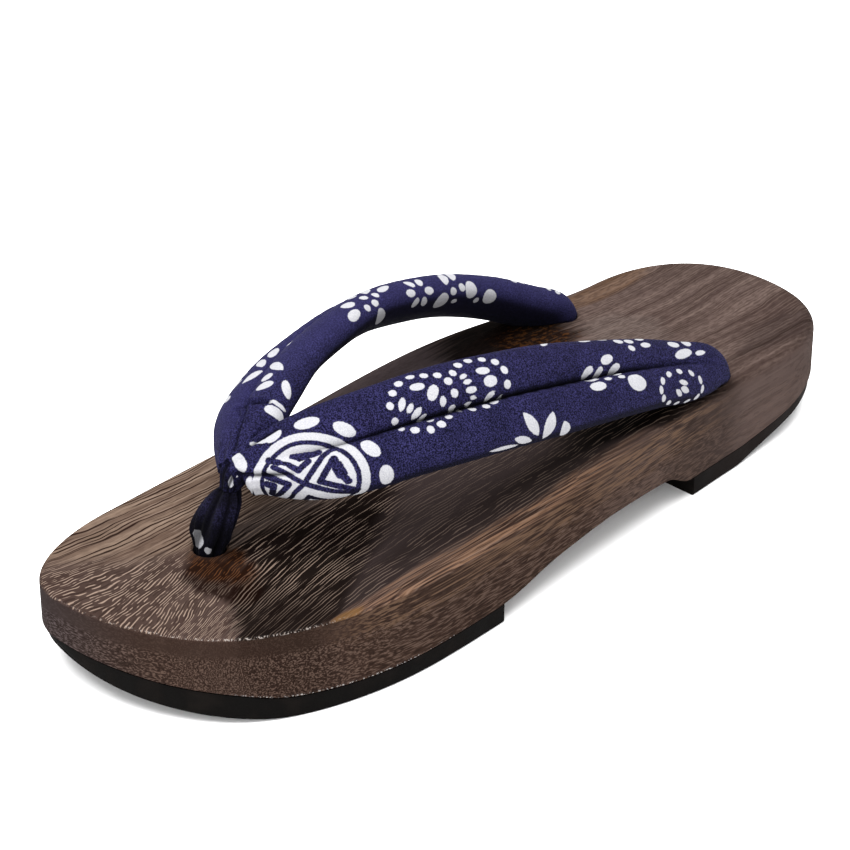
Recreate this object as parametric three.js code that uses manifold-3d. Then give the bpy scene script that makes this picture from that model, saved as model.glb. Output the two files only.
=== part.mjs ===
// A flat wooden sandal for the left foot: a shaped wooden sole on two rubber pads,
// with a padded cloth strap in a V that a gathered toe thong ties down at the front.
// Millimetres, +Z up, +Y from heel to toe, +X to the wearer's right. The floor is z = 0.
import * as THREE from 'three';
import { mergeVertices } from 'three/addons/utils/BufferGeometryUtils.js';
import Module from 'manifold-3d';

// Driving dimensions of the sole
const SOLE_LENGTH = 272;
const TIP_Y = SOLE_LENGTH / 2;
const TOP_AT_HEEL = 31.2;
const TOP_AT_TOE = 27.2;
const ARCH_HUMP = { height: 3.2, y: -34, reach: 64 };
const TOP_EDGE_ROUND = { toe: 1.2, heel: 4.4, toeFrom: 88, heelFrom: 12 };
const LOWER_EDGE_BEVEL = 1.0;
const FIT_GAP = 0.3;
const SIDE_STEPS = 46;
const DECK_COLUMNS = 4;
const ROUND_STEPS = 3;

// Edge of the sole from heel end to toe tip: the landmarks where it turns, the heading of the
// edge there in degrees from +X, and how far the curve leans along it before and after
const INNER_EDGE = [
  { x: -1.2, y: -TIP_Y, heading: 0, back: 0, ahead: 23 },
  { x: 36.6, y: -95, heading: 89, back: 25, ahead: 34 },
  { x: 46.6, y: 15.5, heading: 90, back: 42, ahead: 29 },
  { x: 43.6, y: 98, heading: 91, back: 32, ahead: 19.5 },
  { x: 21, y: TIP_Y, heading: 180, back: 14.5, ahead: 0 },
];
const OUTER_EDGE = [
  { x: -1.2, y: -TIP_Y, heading: 180, back: 0, ahead: 24 },
  { x: -37.8, y: -96, heading: 92, back: 27, ahead: 39.5 },
  { x: -46.6, y: 57, heading: 90, back: 37, ahead: 31 },
  { x: -26.4, y: 118.5, heading: 42.5, back: 12.5, ahead: 19 },
  { x: 21, y: TIP_Y, heading: 0, back: 15.5, ahead: 0 },
];

// Height of the wood's underside and of the rubber's running face, from heel to toe: the heel
// and toe ends rise, and the arch between the pads is steep behind and long in front
const UNDERSIDE = [
  { y: -TIP_Y, wood: 14.6, rubber: 10.6 },
  { y: -112, wood: 10.4, rubber: 6.4 },
  { y: -98, wood: 8.4, rubber: 4.0 },
  { y: -86, wood: 7.0, rubber: 1.4 },
  { y: -78, wood: 6.5, rubber: 0 },
  { y: -55, wood: 6.6, rubber: 0 },
  { y: -43, wood: 11.5, rubber: 0 },
  { y: -18, wood: 12.4, rubber: 0 },
  { y: 8, wood: 10.6, rubber: 0 },
  { y: 34, wood: 6.2, rubber: 0 },
  { y: 78, wood: 5.9, rubber: 0 },
  { y: 96, wood: 6.6, rubber: 0 },
  { y: 110, wood: 9.6, rubber: 1.8 },
  { y: 124, wood: 11.3, rubber: 3.8 },
  { y: 134, wood: 12.5, rubber: 5.9 },
  { y: 139, wood: 13.0, rubber: 8.4 },
  { y: 143, wood: 13.6, rubber: 12.2 },
];
// The toe rises toward the inner side of its tip: the share of x that counts as length there
const TOE_TURN = { share: 0.3, from: 80, full: 125 };

// Rubber pads under heel and forefoot
const PAD_INSET = 0.7;
const FRONT_PAD = { from: 31.5, to: TIP_Y + 5 };
const HEEL_PAD = { from: -TIP_Y - 5, to: -57 };

// Blind holes that take the ends of the strap and of the thong
const HOLE_FLOOR = 15;
const HOLE_SIDES = 28;
const OUTER_HOLE = { x: -30.5, y: -73.5, radius: 5.6 };
const INNER_HOLE = { x: 27, y: -70, radius: 5.6 };
const THONG_HOLE = { x: 8.8, y: 91.2, radius: 4.6 };

// Padded strap: one row for each section of an arm from the tied front to its hole. The broad
// face looks along the plan angle face and upward by lean, in degrees, and has a furrow in its middle
const OUTER_ARM = [
  { x: 5.0, y: 84.0, z: 50.4, wide: 4.6, thick: 4.4, face: 122, lean: 40, furrow: 0 },
  { x: -6.0, y: 75.0, z: 54.6, wide: 10.8, thick: 6.0, face: 130, lean: 42, furrow: 0.5 },
  { x: -15.5, y: 64.5, z: 57.8, wide: 13.2, thick: 6.7, face: 138, lean: 42, furrow: 1.4 },
  { x: -23.5, y: 43.0, z: 59.8, wide: 13.8, thick: 7.0, face: 160, lean: 42, furrow: 2.2 },
  { x: -28.0, y: 15.0, z: 57.2, wide: 13.8, thick: 7.0, face: 172, lean: 43, furrow: 2.4 },
  { x: -30.5, y: -14.0, z: 51.6, wide: 12.7, thick: 7.0, face: 177, lean: 47, furrow: 2.2 },
  { x: -31.5, y: -41.0, z: 44.5, wide: 10.8, thick: 6.6, face: 182, lean: 50, furrow: 1.6 },
  { x: -31.0, y: -60.0, z: 37.2, wide: 8.8, thick: 6.4, face: 184, lean: 48, furrow: 0.6 },
  { x: -30.5, y: -71.0, z: 31.0, wide: 6.8, thick: 6.2, face: 184, lean: 30, furrow: 0 },
  { x: -30.5, y: -73.5, z: 22.0, wide: 5.8, thick: 5.8, face: 184, lean: 8, furrow: 0 },
  { x: -30.5, y: -73.5, z: 13.0, wide: 5.8, thick: 5.8, face: 184, lean: 0, furrow: 0 },
];
const INNER_ARM = [
  { x: 5.0, y: 84.0, z: 50.4, wide: 4.6, thick: 4.4, face: 58, lean: 50, furrow: 0 },
  { x: 11.6, y: 74.0, z: 53.6, wide: 10.4, thick: 5.8, face: 48, lean: 56, furrow: 0.7 },
  { x: 19.2, y: 61.5, z: 56.4, wide: 13.4, thick: 6.3, face: 38, lean: 58, furrow: 1.6 },
  { x: 27.0, y: 40.5, z: 59.0, wide: 13.8, thick: 6.5, face: 18, lean: 54, furrow: 2.2 },
  { x: 32.8, y: 13.0, z: 59.2, wide: 13.4, thick: 6.5, face: 6, lean: 52, furrow: 2.4 },
  { x: 33.6, y: -14.0, z: 55.0, wide: 12.4, thick: 6.5, face: 1, lean: 55, furrow: 2.2 },
  { x: 31.6, y: -38.0, z: 47.2, wide: 10.5, thick: 6.4, face: -5, lean: 56, furrow: 1.6 },
  { x: 28.8, y: -56.0, z: 38.4, wide: 8.5, thick: 6.3, face: -8, lean: 52, furrow: 0.6 },
  { x: 27.0, y: -67.5, z: 31.4, wide: 6.7, thick: 6.2, face: -8, lean: 30, furrow: 0 },
  { x: 27.0, y: -70.0, z: 22.0, wide: 5.8, thick: 5.8, face: -8, lean: 8, furrow: 0 },
  { x: 27.0, y: -70.0, z: 13.0, wide: 5.8, thick: 5.8, face: -8, lean: 0, furrow: 0 },
];
const ARM_STEPS = 40;
const ARM_SIDES = 28;
const FURROW_REACH = 0.2;
const ARM_SQUARENESS = 0.85;
const ARM_BACK_FLATNESS = 0.82;
const HEADING_STEP = 0.05;

// Gathered neck of the strap and the toe thong below it: centre, half width across the sandal
// and half depth along it
const NECK = [
  { x: 5.0, y: 80.8, z: 54.6, wide: 3.4, deep: 3.4 },
  { x: 5.0, y: 83.2, z: 51.6, wide: 4.5, deep: 4.5 },
  { x: 5.1, y: 85.0, z: 48.8, wide: 3.6, deep: 3.6 },
  { x: 5.1, y: 86.2, z: 46.3, wide: 2.9, deep: 2.9 },
];
const THONG = [
  { x: 5.1, y: 86.4, z: 46.0, wide: 2.9, deep: 2.9 },
  { x: 5.8, y: 87.5, z: 43.0, wide: 4.9, deep: 3.8 },
  { x: 7.1, y: 89.1, z: 38.5, wide: 5.9, deep: 4.5 },
  { x: 8.5, y: 90.6, z: 32.6, wide: 6.4, deep: 4.9 },
  { x: 8.8, y: 91.1, z: 29.0, wide: 5.2, deep: 4.6 },
  { x: 8.8, y: 91.2, z: 24.0, wide: 4.7, deep: 4.7 },
  { x: 8.8, y: 91.2, z: 13.0, wide: 4.7, deep: 4.7 },
];
const NECK_STEPS = 6;
const THONG_STEPS = 18;
const THONG_SIDES = 20;
const THONG_GATHERS = { count: 5, depth: 0.09 };

// Corners closer than this are one corner
const MERGE_DISTANCE = 1e-5;

const wasm = await Module();
wasm.setup();

const radians = THREE.MathUtils.degToRad;

// Smooth value between table rows, for every named column at once
function blendRows(rows, position) {
  const index = Math.min(Math.floor(position), rows.length - 2);
  const part = position - index;
  const before = rows[Math.max(index - 1, 0)];
  const from = rows[index];
  const to = rows[index + 1];
  const after = rows[Math.min(index + 2, rows.length - 1)];
  const out = {};
  for (const column of Object.keys(from)) {
    const rise = (to[column] - before[column]) / 2;
    const fall = (after[column] - from[column]) / 2;
    const step = to[column] - from[column];
    const bend = 3 * step - 2 * rise - fall;
    const twist = rise + fall - 2 * step;
    out[column] = from[column] + part * (rise + part * (bend + part * twist));
  }
  return out;
}

// Value of a column at a given y, with no overshoot between the rows
function profileAt(rows, column, y) {
  const last = rows.length - 1;
  const inside = THREE.MathUtils.clamp(y, rows[0].y, rows[last].y);
  let index = 0;
  while (index < last - 1 && rows[index + 1].y < inside) {
    index += 1;
  }
  const slope = (k) => (rows[k + 1][column] - rows[k][column]) / (rows[k + 1].y - rows[k].y);
  const slopeAt = (k) => {
    if (k === 0 || k === last) {
      return slope(Math.min(k, last - 1));
    }
    const product = slope(k - 1) * slope(k);
    return product <= 0 ? 0 : (2 * product) / (slope(k - 1) + slope(k));
  };
  const run = rows[index + 1].y - rows[index].y;
  const part = (inside - rows[index].y) / run;
  const from = rows[index][column];
  const to = rows[index + 1][column];
  const rise = slopeAt(index) * run;
  const fall = slopeAt(index + 1) * run;
  const step = to - from;
  return from + part * (rise + part * (3 * step - 2 * rise - fall + part * (rise + fall - 2 * step)));
}

// Height of the wood's or the rubber's underside over a place on the floor
function undersideAt(column, place) {
  const turned = TOE_TURN.share * THREE.MathUtils.smoothstep(place.y, TOE_TURN.from, TOE_TURN.full);
  return profileAt(UNDERSIDE, column, place.y + turned * place.x);
}

// Height of the deck, which falls from heel to toe and swells under the arch of the foot
function deckHeight(y) {
  const slope = THREE.MathUtils.mapLinear(y, -TIP_Y, TIP_Y, TOP_AT_HEEL, TOP_AT_TOE);
  const away = Math.min(Math.abs(y - ARCH_HUMP.y) / ARCH_HUMP.reach, 1);
  return slope + ARCH_HUMP.height * 0.5 * (1 + Math.cos(Math.PI * away));
}

// Radius of the deck's edge, crisp round the toe and soft from the waist to the heel
function edgeRadius(y) {
  const soft = 1 - THREE.MathUtils.smoothstep(y, TOP_EDGE_ROUND.heelFrom, TOP_EDGE_ROUND.toeFrom);
  return THREE.MathUtils.lerp(TOP_EDGE_ROUND.toe, TOP_EDGE_ROUND.heel, soft);
}

// One side of the sole's edge as evenly spaced points from heel end to toe tip
function edgePoints(landmarks) {
  const path = new THREE.CurvePath();
  for (let k = 0; k + 1 < landmarks.length; k += 1) {
    const from = landmarks[k];
    const to = landmarks[k + 1];
    const start = new THREE.Vector2(from.x, from.y);
    const end = new THREE.Vector2(to.x, to.y);
    const leave = new THREE.Vector2(Math.cos(radians(from.heading)), Math.sin(radians(from.heading)));
    const arrive = new THREE.Vector2(Math.cos(radians(to.heading)), Math.sin(radians(to.heading)));
    const first = start.clone().addScaledVector(leave, from.ahead);
    const second = end.clone().addScaledVector(arrive, -to.back);
    path.add(new THREE.CubicBezierCurve(start, first, second, end));
  }
  return path.getSpacedPoints(SIDE_STEPS);
}

const innerSide = edgePoints(INNER_EDGE);
const outerSide = edgePoints(OUTER_EDGE);
// Anticlockwise round the sole, seen from above
const soleEdge = [...innerSide, ...outerSide.slice(1, -1).reverse()];

// The sole's edge moved inward, each point along its own normal
function insetEdge(insetAt) {
  const count = soleEdge.length;
  return soleEdge.map((point, k) => {
    const next = soleEdge[(k + 1) % count];
    const previous = soleEdge[(k + count - 1) % count];
    const along = next.clone().sub(previous).normalize();
    const inward = new THREE.Vector2(-along.y, along.x);
    return point.clone().addScaledVector(inward, insetAt(point.y));
  });
}

// A geometry from points and corner lists
function geometryFrom(points, triangles) {
  const geometry = new THREE.BufferGeometry();
  const flat = points.flatMap((p) => [p.x, p.y, p.z]);
  geometry.setAttribute('position', new THREE.Float32BufferAttribute(flat, 3));
  geometry.setIndex(triangles.flat());
  return geometry;
}

// A closed plate with the sole's outline: a stack of rings from its lower face to its upper one,
// each face filled by rows of points across the sole
function soleBody(rings) {
  const points = [];
  const triangles = [];
  const count = soleEdge.length;
  const ringStarts = rings.map((ring) => {
    const start = points.length;
    insetEdge(ring.inset).forEach((p, k) => {
      points.push(new THREE.Vector3(p.x, p.y, ring.height(soleEdge[k])));
    });
    return start;
  });
  for (let r = 0; r + 1 < rings.length; r += 1) {
    const low = ringStarts[r];
    const high = ringStarts[r + 1];
    for (let k = 0; k < count; k += 1) {
      const next = (k + 1) % count;
      triangles.push([low + k, low + next, high + next], [low + k, high + next, high + k]);
    }
  }
  const addFace = (start, height, upward) => {
    const rows = [];
    for (let k = 0; k <= SIDE_STEPS; k += 1) {
      const right = start + k;
      const left = start + ((count - k) % count);
      const row = [right];
      if (left !== right) {
        for (let c = 1; c < DECK_COLUMNS; c += 1) {
          const p = points[right].clone().lerp(points[left], c / DECK_COLUMNS);
          p.z = height(p);
          row.push(points.length);
          points.push(p);
        }
        row.push(left);
      }
      rows.push(row);
    }
    const put = (a, b, c) => triangles.push(upward ? [a, b, c] : [a, c, b]);
    for (let k = 0; k < SIDE_STEPS; k += 1) {
      const near = rows[k];
      const far = rows[k + 1];
      for (let c = 0; c < DECK_COLUMNS; c += 1) {
        const a = near[Math.min(c, near.length - 1)];
        const b = far[Math.min(c, far.length - 1)];
        const d = far[Math.min(c + 1, far.length - 1)];
        const e = near[Math.min(c + 1, near.length - 1)];
        if (b !== d) {
          put(a, b, d);
        }
        if (a !== e) {
          put(a, d, e);
        }
      }
    }
  };
  addFace(ringStarts[0], rings[0].height, false);
  addFace(ringStarts[rings.length - 1], rings[rings.length - 1].height, true);
  return geometryFrom(points, triangles);
}

// Conversions between three.js geometry and solids that can be joined and cut
function toSolid(geometry) {
  const bare = geometry.clone();
  bare.deleteAttribute('normal');
  bare.deleteAttribute('uv');
  const merged = mergeVertices(bare, MERGE_DISTANCE);
  return new wasm.Manifold(new wasm.Mesh({
    numProp: 3,
    vertProperties: new Float32Array(merged.attributes.position.array),
    triVerts: new Uint32Array(merged.index.array),
  }));
}

function toGeometry(solid) {
  const mesh = solid.getMesh();
  const geometry = new THREE.BufferGeometry();
  geometry.setAttribute('position', new THREE.Float32BufferAttribute(mesh.vertProperties, 3));
  geometry.setIndex(Array.from(mesh.triVerts));
  return geometry;
}

// The wooden body without its holes, grown upward by a clearance
function woodBody(clearance) {
  const bottom = (place) => undersideAt('wood', place);
  const top = (place) => deckHeight(place.y) + clearance;
  const rings = [
    { inset: () => LOWER_EDGE_BEVEL, height: bottom },
    { inset: () => 0, height: (place) => bottom(place) + LOWER_EDGE_BEVEL },
  ];
  for (let k = 0; k <= ROUND_STEPS; k += 1) {
    const turn = (k / ROUND_STEPS) * (Math.PI / 2);
    rings.push({
      inset: (y) => edgeRadius(y) * (1 - Math.cos(turn)),
      height: (place) => top(place) - edgeRadius(place.y) * (1 - Math.sin(turn)),
    });
  }
  return toSolid(soleBody(rings));
}

// A round plug that stands in a hole, from the hole's floor to above the strap
function holePlug(hole, slack) {
  const top = 60;
  const bottom = HOLE_FLOOR + slack;
  const radius = hole.radius - slack;
  const geometry = new THREE.CylinderGeometry(radius, radius, top - bottom, HOLE_SIDES);
  geometry.rotateX(Math.PI / 2);
  geometry.translate(hole.x, hole.y, (top + bottom) / 2);
  return toSolid(geometry);
}

function drilledWood(clearance) {
  let wood = woodBody(clearance);
  for (const hole of [OUTER_HOLE, INNER_HOLE, THONG_HOLE]) {
    wood = wood.subtract(holePlug(hole, clearance));
  }
  return wood;
}

// A rubber pad: the sole's outline under the wood, cut square across between two places
function rubberPad(pad) {
  const width = 200;
  const depth = 100;
  const full = toSolid(soleBody([
    { inset: () => PAD_INSET, height: (place) => undersideAt('rubber', place) },
    { inset: () => PAD_INSET, height: (place) => undersideAt('wood', place) - FIT_GAP },
  ]));
  const stretch = new THREE.BoxGeometry(width, pad.to - pad.from, depth);
  stretch.translate(0, (pad.from + pad.to) / 2, 0);
  return full.intersect(toSolid(stretch));
}

// A closed skin through rings of equal size, with a fan over each end
function loft(rings) {
  const size = rings[0].length;
  const points = rings.flat();
  const triangles = [];
  for (let r = 0; r + 1 < rings.length; r += 1) {
    for (let k = 0; k < size; k += 1) {
      const a = r * size + k;
      const b = r * size + ((k + 1) % size);
      triangles.push([a, b, b + size], [a, b + size, a + size]);
    }
  }
  const centre = (ring) => ring.reduce((sum, p) => sum.add(p), new THREE.Vector3()).divideScalar(size);
  const first = points.push(centre(rings[0])) - 1;
  const last = points.push(centre(rings[rings.length - 1])) - 1;
  const end = (rings.length - 1) * size;
  for (let k = 0; k < size; k += 1) {
    const next = (k + 1) % size;
    triangles.push([first, next, k], [last, end + k, end + next]);
  }
  return geometryFrom(points, triangles);
}

// Half a strap: a flattened padded tube with two lobes on its face
function strapArm(rows) {
  const rings = [];
  const last = rows.length - 1;
  for (let s = 0; s <= ARM_STEPS; s += 1) {
    const position = (s / ARM_STEPS) * last;
    const row = blendRows(rows, position);
    const ahead = blendRows(rows, Math.min(position + HEADING_STEP, last));
    const behind = blendRows(rows, Math.max(position - HEADING_STEP, 0));
    const along = new THREE.Vector3(ahead.x - behind.x, ahead.y - behind.y, ahead.z - behind.z).normalize();
    const level = Math.cos(radians(row.lean));
    const look = new THREE.Vector3(
      Math.cos(radians(row.face)) * level,
      Math.sin(radians(row.face)) * level,
      Math.sin(radians(row.lean)),
    );
    look.addScaledVector(along, -look.dot(along)).normalize();
    const across = new THREE.Vector3().crossVectors(along, look);
    const ring = [];
    for (let k = 0; k < ARM_SIDES; k += 1) {
      const turn = (-k / ARM_SIDES) * 2 * Math.PI;
      const side = Math.cos(turn);
      const swell = Math.sign(Math.sin(turn)) * Math.abs(Math.sin(turn)) ** ARM_SQUARENESS;
      const dip = row.furrow * Math.exp(-Math.abs(side) / FURROW_REACH);
      const height = swell > 0 ? row.thick * swell - dip * swell : row.thick * swell * ARM_BACK_FLATNESS;
      const p = new THREE.Vector3(row.x, row.y, row.z);
      p.addScaledVector(across, side * row.wide).addScaledVector(look, height);
      ring.push(p);
    }
    rings.push(ring);
  }
  return toSolid(loft(rings));
}

// A gathered stem: level oval sections with shallow pleats
function gatheredStem(rows, steps) {
  const rings = [];
  for (let s = 0; s <= steps; s += 1) {
    const row = blendRows(rows, (s / steps) * (rows.length - 1));
    const ring = [];
    for (let k = 0; k < THONG_SIDES; k += 1) {
      const turn = (-k / THONG_SIDES) * 2 * Math.PI;
      const pleat = 1 - THONG_GATHERS.depth * (0.5 + 0.5 * Math.cos(THONG_GATHERS.count * turn));
      ring.push(new THREE.Vector3(
        row.x + row.wide * pleat * Math.cos(turn),
        row.y + row.deep * pleat * Math.sin(turn),
        row.z,
      ));
    }
    rings.push(ring);
  }
  return toSolid(loft(rings));
}

const woodWithClearance = drilledWood(FIT_GAP);

function paddedStrap() {
  const arms = strapArm(OUTER_ARM).add(strapArm(INNER_ARM));
  return arms.add(gatheredStem(NECK, NECK_STEPS)).subtract(woodWithClearance);
}

function toeThong() {
  return gatheredStem(THONG, THONG_STEPS).subtract(woodWithClearance);
}

const FINISH = {
  wood: { color: 0x4a3424, roughness: 0.42, metalness: 0 },
  rubber: { color: 0x16161a, roughness: 0.85, metalness: 0 },
  cloth: { color: 0x23265c, roughness: 0.9, metalness: 0 },
};

function addPiece(group, name, solid, finish) {
  const mesh = new THREE.Mesh(toGeometry(solid), new THREE.MeshStandardMaterial(finish));
  mesh.name = name;
  group.add(mesh);
}

const sandal = new THREE.Group();
addPiece(sandal, 'wood_sole', drilledWood(0), FINISH.wood);
addPiece(sandal, 'front_pad', rubberPad(FRONT_PAD), FINISH.rubber);
addPiece(sandal, 'heel_pad', rubberPad(HEEL_PAD), FINISH.rubber);
addPiece(sandal, 'strap', paddedStrap(), FINISH.cloth);
addPiece(sandal, 'toe_thong', toeThong(), FINISH.cloth);

export default sandal;
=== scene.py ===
"""Looks of a wooden sandal for the left foot: charred wood, rubber pads and a printed cloth strap.

Sizes are millimetres in the part's own frame (+Y heel to toe, +X the wearer's right, +Z up)
and become metres when a mesh is made.
"""
import math

import bpy
import numpy as np
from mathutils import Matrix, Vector


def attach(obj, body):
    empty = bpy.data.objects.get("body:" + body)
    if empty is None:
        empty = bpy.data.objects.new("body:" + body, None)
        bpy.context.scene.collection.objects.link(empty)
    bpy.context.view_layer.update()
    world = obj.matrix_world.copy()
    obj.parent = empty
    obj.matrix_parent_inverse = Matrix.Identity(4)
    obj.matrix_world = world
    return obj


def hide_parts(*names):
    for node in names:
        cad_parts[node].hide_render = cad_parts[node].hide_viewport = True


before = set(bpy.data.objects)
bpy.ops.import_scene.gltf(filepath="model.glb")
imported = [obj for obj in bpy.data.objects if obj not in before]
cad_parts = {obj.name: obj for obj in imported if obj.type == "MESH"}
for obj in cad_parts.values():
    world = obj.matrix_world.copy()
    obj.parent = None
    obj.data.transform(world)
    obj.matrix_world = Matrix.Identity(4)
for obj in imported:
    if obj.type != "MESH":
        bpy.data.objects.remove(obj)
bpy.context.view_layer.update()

MM = 0.001
BODY = "root"

# Camera: where it looks, from which side, and its lens on a square frame
CAMERA_TARGET = (26.52, -10.48, 16.9)
CAMERA_BEARING = 134.32
CAMERA_ELEVATION = 30.0
CAMERA_DISTANCE = 891.8
CAMERA_LENS = 127.06
SENSOR = 36.0

# Light on the floor, where 1 would just show as white
LIGHT_LEVEL = 3.2

# Sole, as in the solids
TIP_Y = 136.0
TOP_AT_HEEL = 31.2
TOP_AT_TOE = 27.2
ARCH_HUMP = {"height": 3.2, "y": -34.0, "reach": 64.0}
TOP_EDGE_ROUND = {"toe": 1.2, "heel": 4.4, "toe_from": 88.0, "heel_from": 12.0}
LOWER_EDGE_ROUND = 1.0
FIT_GAP = 0.3
SIDE_STEPS = 200
DECK_COLUMNS = 40
WALL_ROWS = 8
ROUND_STEPS = 8
LOWER_ROUND_STEPS = 3
# Fine steps along an edge or a strap before it is cut into even ones
EDGE_FINE_STEPS = 200
STRAP_FINE_STEPS = 4000
# Edges sharper than this stay crisp, in degrees
SHARP_FROM = {"hard": 40, "cloth": 60}

# Edge of the sole from heel end to toe tip: x, y, heading in degrees from +X, lean back, lean ahead
INNER_EDGE = [
    (-1.2, -TIP_Y, 0, 0, 23),
    (36.6, -95, 89, 25, 34),
    (46.6, 15.5, 90, 42, 29),
    (43.6, 98, 91, 32, 19.5),
    (21, TIP_Y, 180, 14.5, 0),
]
OUTER_EDGE = [
    (-1.2, -TIP_Y, 180, 0, 24),
    (-37.8, -96, 92, 27, 39.5),
    (-46.6, 57, 90, 37, 31),
    (-26.4, 118.5, 42.5, 12.5, 19),
    (21, TIP_Y, 0, 15.5, 0),
]

# Height of the wood's underside and of the rubber's running face: y, wood, rubber
UNDERSIDE = np.array([
    (-TIP_Y, 14.6, 10.6),
    (-112, 10.4, 6.4),
    (-98, 8.4, 4),
    (-86, 7, 1.4),
    (-78, 6.5, 0),
    (-55, 6.6, 0),
    (-43, 11.5, 0),
    (-18, 12.4, 0),
    (8, 10.6, 0),
    (34, 6.2, 0),
    (78, 5.9, 0),
    (96, 6.6, 0),
    (110, 9.6, 1.8),
    (124, 11.3, 3.8),
    (134, 12.5, 5.9),
    (139, 13, 8.4),
    (143, 13.6, 12.2),
])
# The toe rises toward the inner side of its tip: the share of x that counts as length there
TOE_TURN = {"share": 0.3, "from": 80.0, "full": 125.0}
PAD_INSET = 0.7
PAD_EDGE_ROUND = 0.8
# Stretch of the sole under each pad, from y to y, and the box that cuts it
PADS = {"front_pad": (31.5, TIP_Y + 5), "heel_pad": (-TIP_Y - 5, -57)}
PAD_CUTTER = {"half_width": 100, "half_height": 60}

# Blind holes for the strap's and the thong's ends: x, y, radius
HOLE_FLOOR = 15.0
HOLE_CHAMFER = 0.6
HOLE_SIDES = 64
HOLE_CUTTER_ABOVE = 10
# A point of the strap goes down the hole where it is this much deeper than it is far off
HOLE_PULL = 2
OUTER_HOLE = (-30.5, -73.5, 5.6)
INNER_HOLE = (27.0, -70.0, 5.6)
THONG_HOLE = (8.8, 91.2, 4.6)

# Strap arms from the tied front to their holes: x, y, z, half width, half thickness,
# plan angle and upward lean of the broad face, depth of its furrow
OUTER_ARM = np.array([
    (5, 84, 50.4, 4.6, 4.4, 122, 40, 0),
    (-6, 75, 54.6, 10.8, 6, 130, 42, 0.5),
    (-15.5, 64.5, 57.8, 13.2, 6.7, 138, 42, 1.4),
    (-23.5, 43, 59.8, 13.8, 7, 160, 42, 2.2),
    (-28, 15, 57.2, 13.8, 7, 172, 43, 2.4),
    (-30.5, -14, 51.6, 12.7, 7, 177, 47, 2.2),
    (-31.5, -41, 44.5, 10.8, 6.6, 182, 50, 1.6),
    (-31, -60, 37.4, 9.4, 6.6, 184, 48, 0.6),
    (-30.5, -70.4, 32.6, 8, 6.8, 184, 30, 0),
    (-30.5, -73.5, 22, 5.8, 5.8, 184, 8, 0),
    (-30.5, -73.5, 15.6, 5.2, 5.2, 184, 0, 0),
])
INNER_ARM = np.array([
    (5, 84, 50.4, 4.6, 4.4, 58, 50, 0),
    (11.6, 74, 53.6, 10.4, 5.8, 48, 56, 0.7),
    (19.2, 61.5, 56.4, 13.4, 6.3, 38, 58, 1.6),
    (27, 40.5, 59, 13.8, 6.5, 18, 54, 2.2),
    (32.8, 13, 59.2, 13.4, 6.5, 6, 52, 2.4),
    (33.6, -14, 55, 12.4, 6.5, 1, 55, 2.2),
    (31.6, -38, 47.2, 10.5, 6.4, -5, 56, 1.6),
    (28.8, -56, 38.4, 8.6, 6.4, -8, 52, 0.6),
    (27, -67.4, 31.6, 7.2, 6.4, -8, 30, 0),
    (27, -70, 22, 5.8, 5.8, -8, 8, 0),
    (27, -70, 15.6, 5.2, 5.2, -8, 0, 0),
])
ARM_STATIONS = 340
ARM_SIDES = 120
FURROW_REACH = 0.2
FURROW_FULL = 2.4
FURROW_PRESSED = 1.35
ARM_SQUARENESS = 0.85
ARM_BACK_FLATNESS = 0.82
HEADING_STEP = 0.05

# Relief of the cloth: the sewn line in the furrow, puckers beside it and gathers at the neck
SEAM = {"depth": 1.2, "width": 0.7, "shade": 0.4, "shade_reach": 1.9}
PUCKER = {"depth": 0.22, "pitch": 5.2, "reach": 3.6, "sway": 0.8, "sway_length": 9.0}
GATHER = {"depth": 0.35, "count": 9, "reach": 6.5, "uneven": 0.5, "uneven_count": 3}
SLACK = {"depth": 0.16, "along": 6.3, "across": 7.9, "along_start": 1.3, "across_start": 0.4}
# A crease has a soft ridge beside its trough, and fades to its ends
CREASE = {"ridge": 0.4, "ridge_at": 2.2, "end": 0.1, "fade": 0.5}

# Creases pressed into the arms: from along, across, to along, across, depth, width
OUTER_CREASES = [
    (3.2, -2.6, 16.5, -5.4, 0.9, 0.6),
    (1.8, -2.6, 2, -12, 2, 1.2),
    (5, 5.2, 15, 8.6, 0.7, 0.7),
]
INNER_CREASES = [
    (3, 2, 19.6, 2.6, 1.3, 0.7),
    (19.9, -2, 18.6, 9.5, 1.5, 0.7),
    (2, 6, 9, 8.4, 1, 0.7),
]

# Gathered neck of the strap and the thong below it: x, y, z, half width, half depth
NECK = np.array([
    (5, 80.8, 54.6, 3.4, 3.4),
    (5, 83.2, 51.6, 4.5, 4.5),
    (5.1, 85, 48.8, 3.6, 3.6),
    (5.1, 86.2, 46.3, 2.9, 2.9),
])
THONG = np.array([
    (5.1, 86.4, 46, 2.9, 2.9),
    (5.8, 87.5, 43, 5, 3.9),
    (7.1, 89.1, 38.5, 6.1, 4.7),
    (8.5, 90.6, 32.6, 6.7, 5.1),
    (8.8, 91.1, 29, 5.3, 4.7),
    (8.8, 91.2, 24, 4.3, 4.3),
    (8.8, 91.2, 15.6, 4.2, 4.2),
])
STEM_SIDES = 144
STEM_RADIUS = 5.5
NECK_STATIONS = 40
THONG_STATIONS = 120
NECK_GATHERS = {"count": 9, "depth": 0.1}
THONG_GATHERS = {"count": 5, "depth": 0.24}
# Pleats are uneven round the stem, lean with height and have a fine crimp
PLEAT = {"uneven": 1.2, "uneven_count": 2, "start": 0.8, "lean": 0.9, "lean_rate": 0.25}
CRIMP = {"share": 0.25, "rate": 0.3}

# Print on the strap, laid out flat: along the arm from the neck, and across it from the furrow,
# positive toward the foot. Leaves are rows of along, across, length, width, turn in degrees
MEDALLION = {"along": 19.2, "across": -8.9, "disc": 14.3, "gap": 11.6, "gap_half": 0.62}
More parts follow.
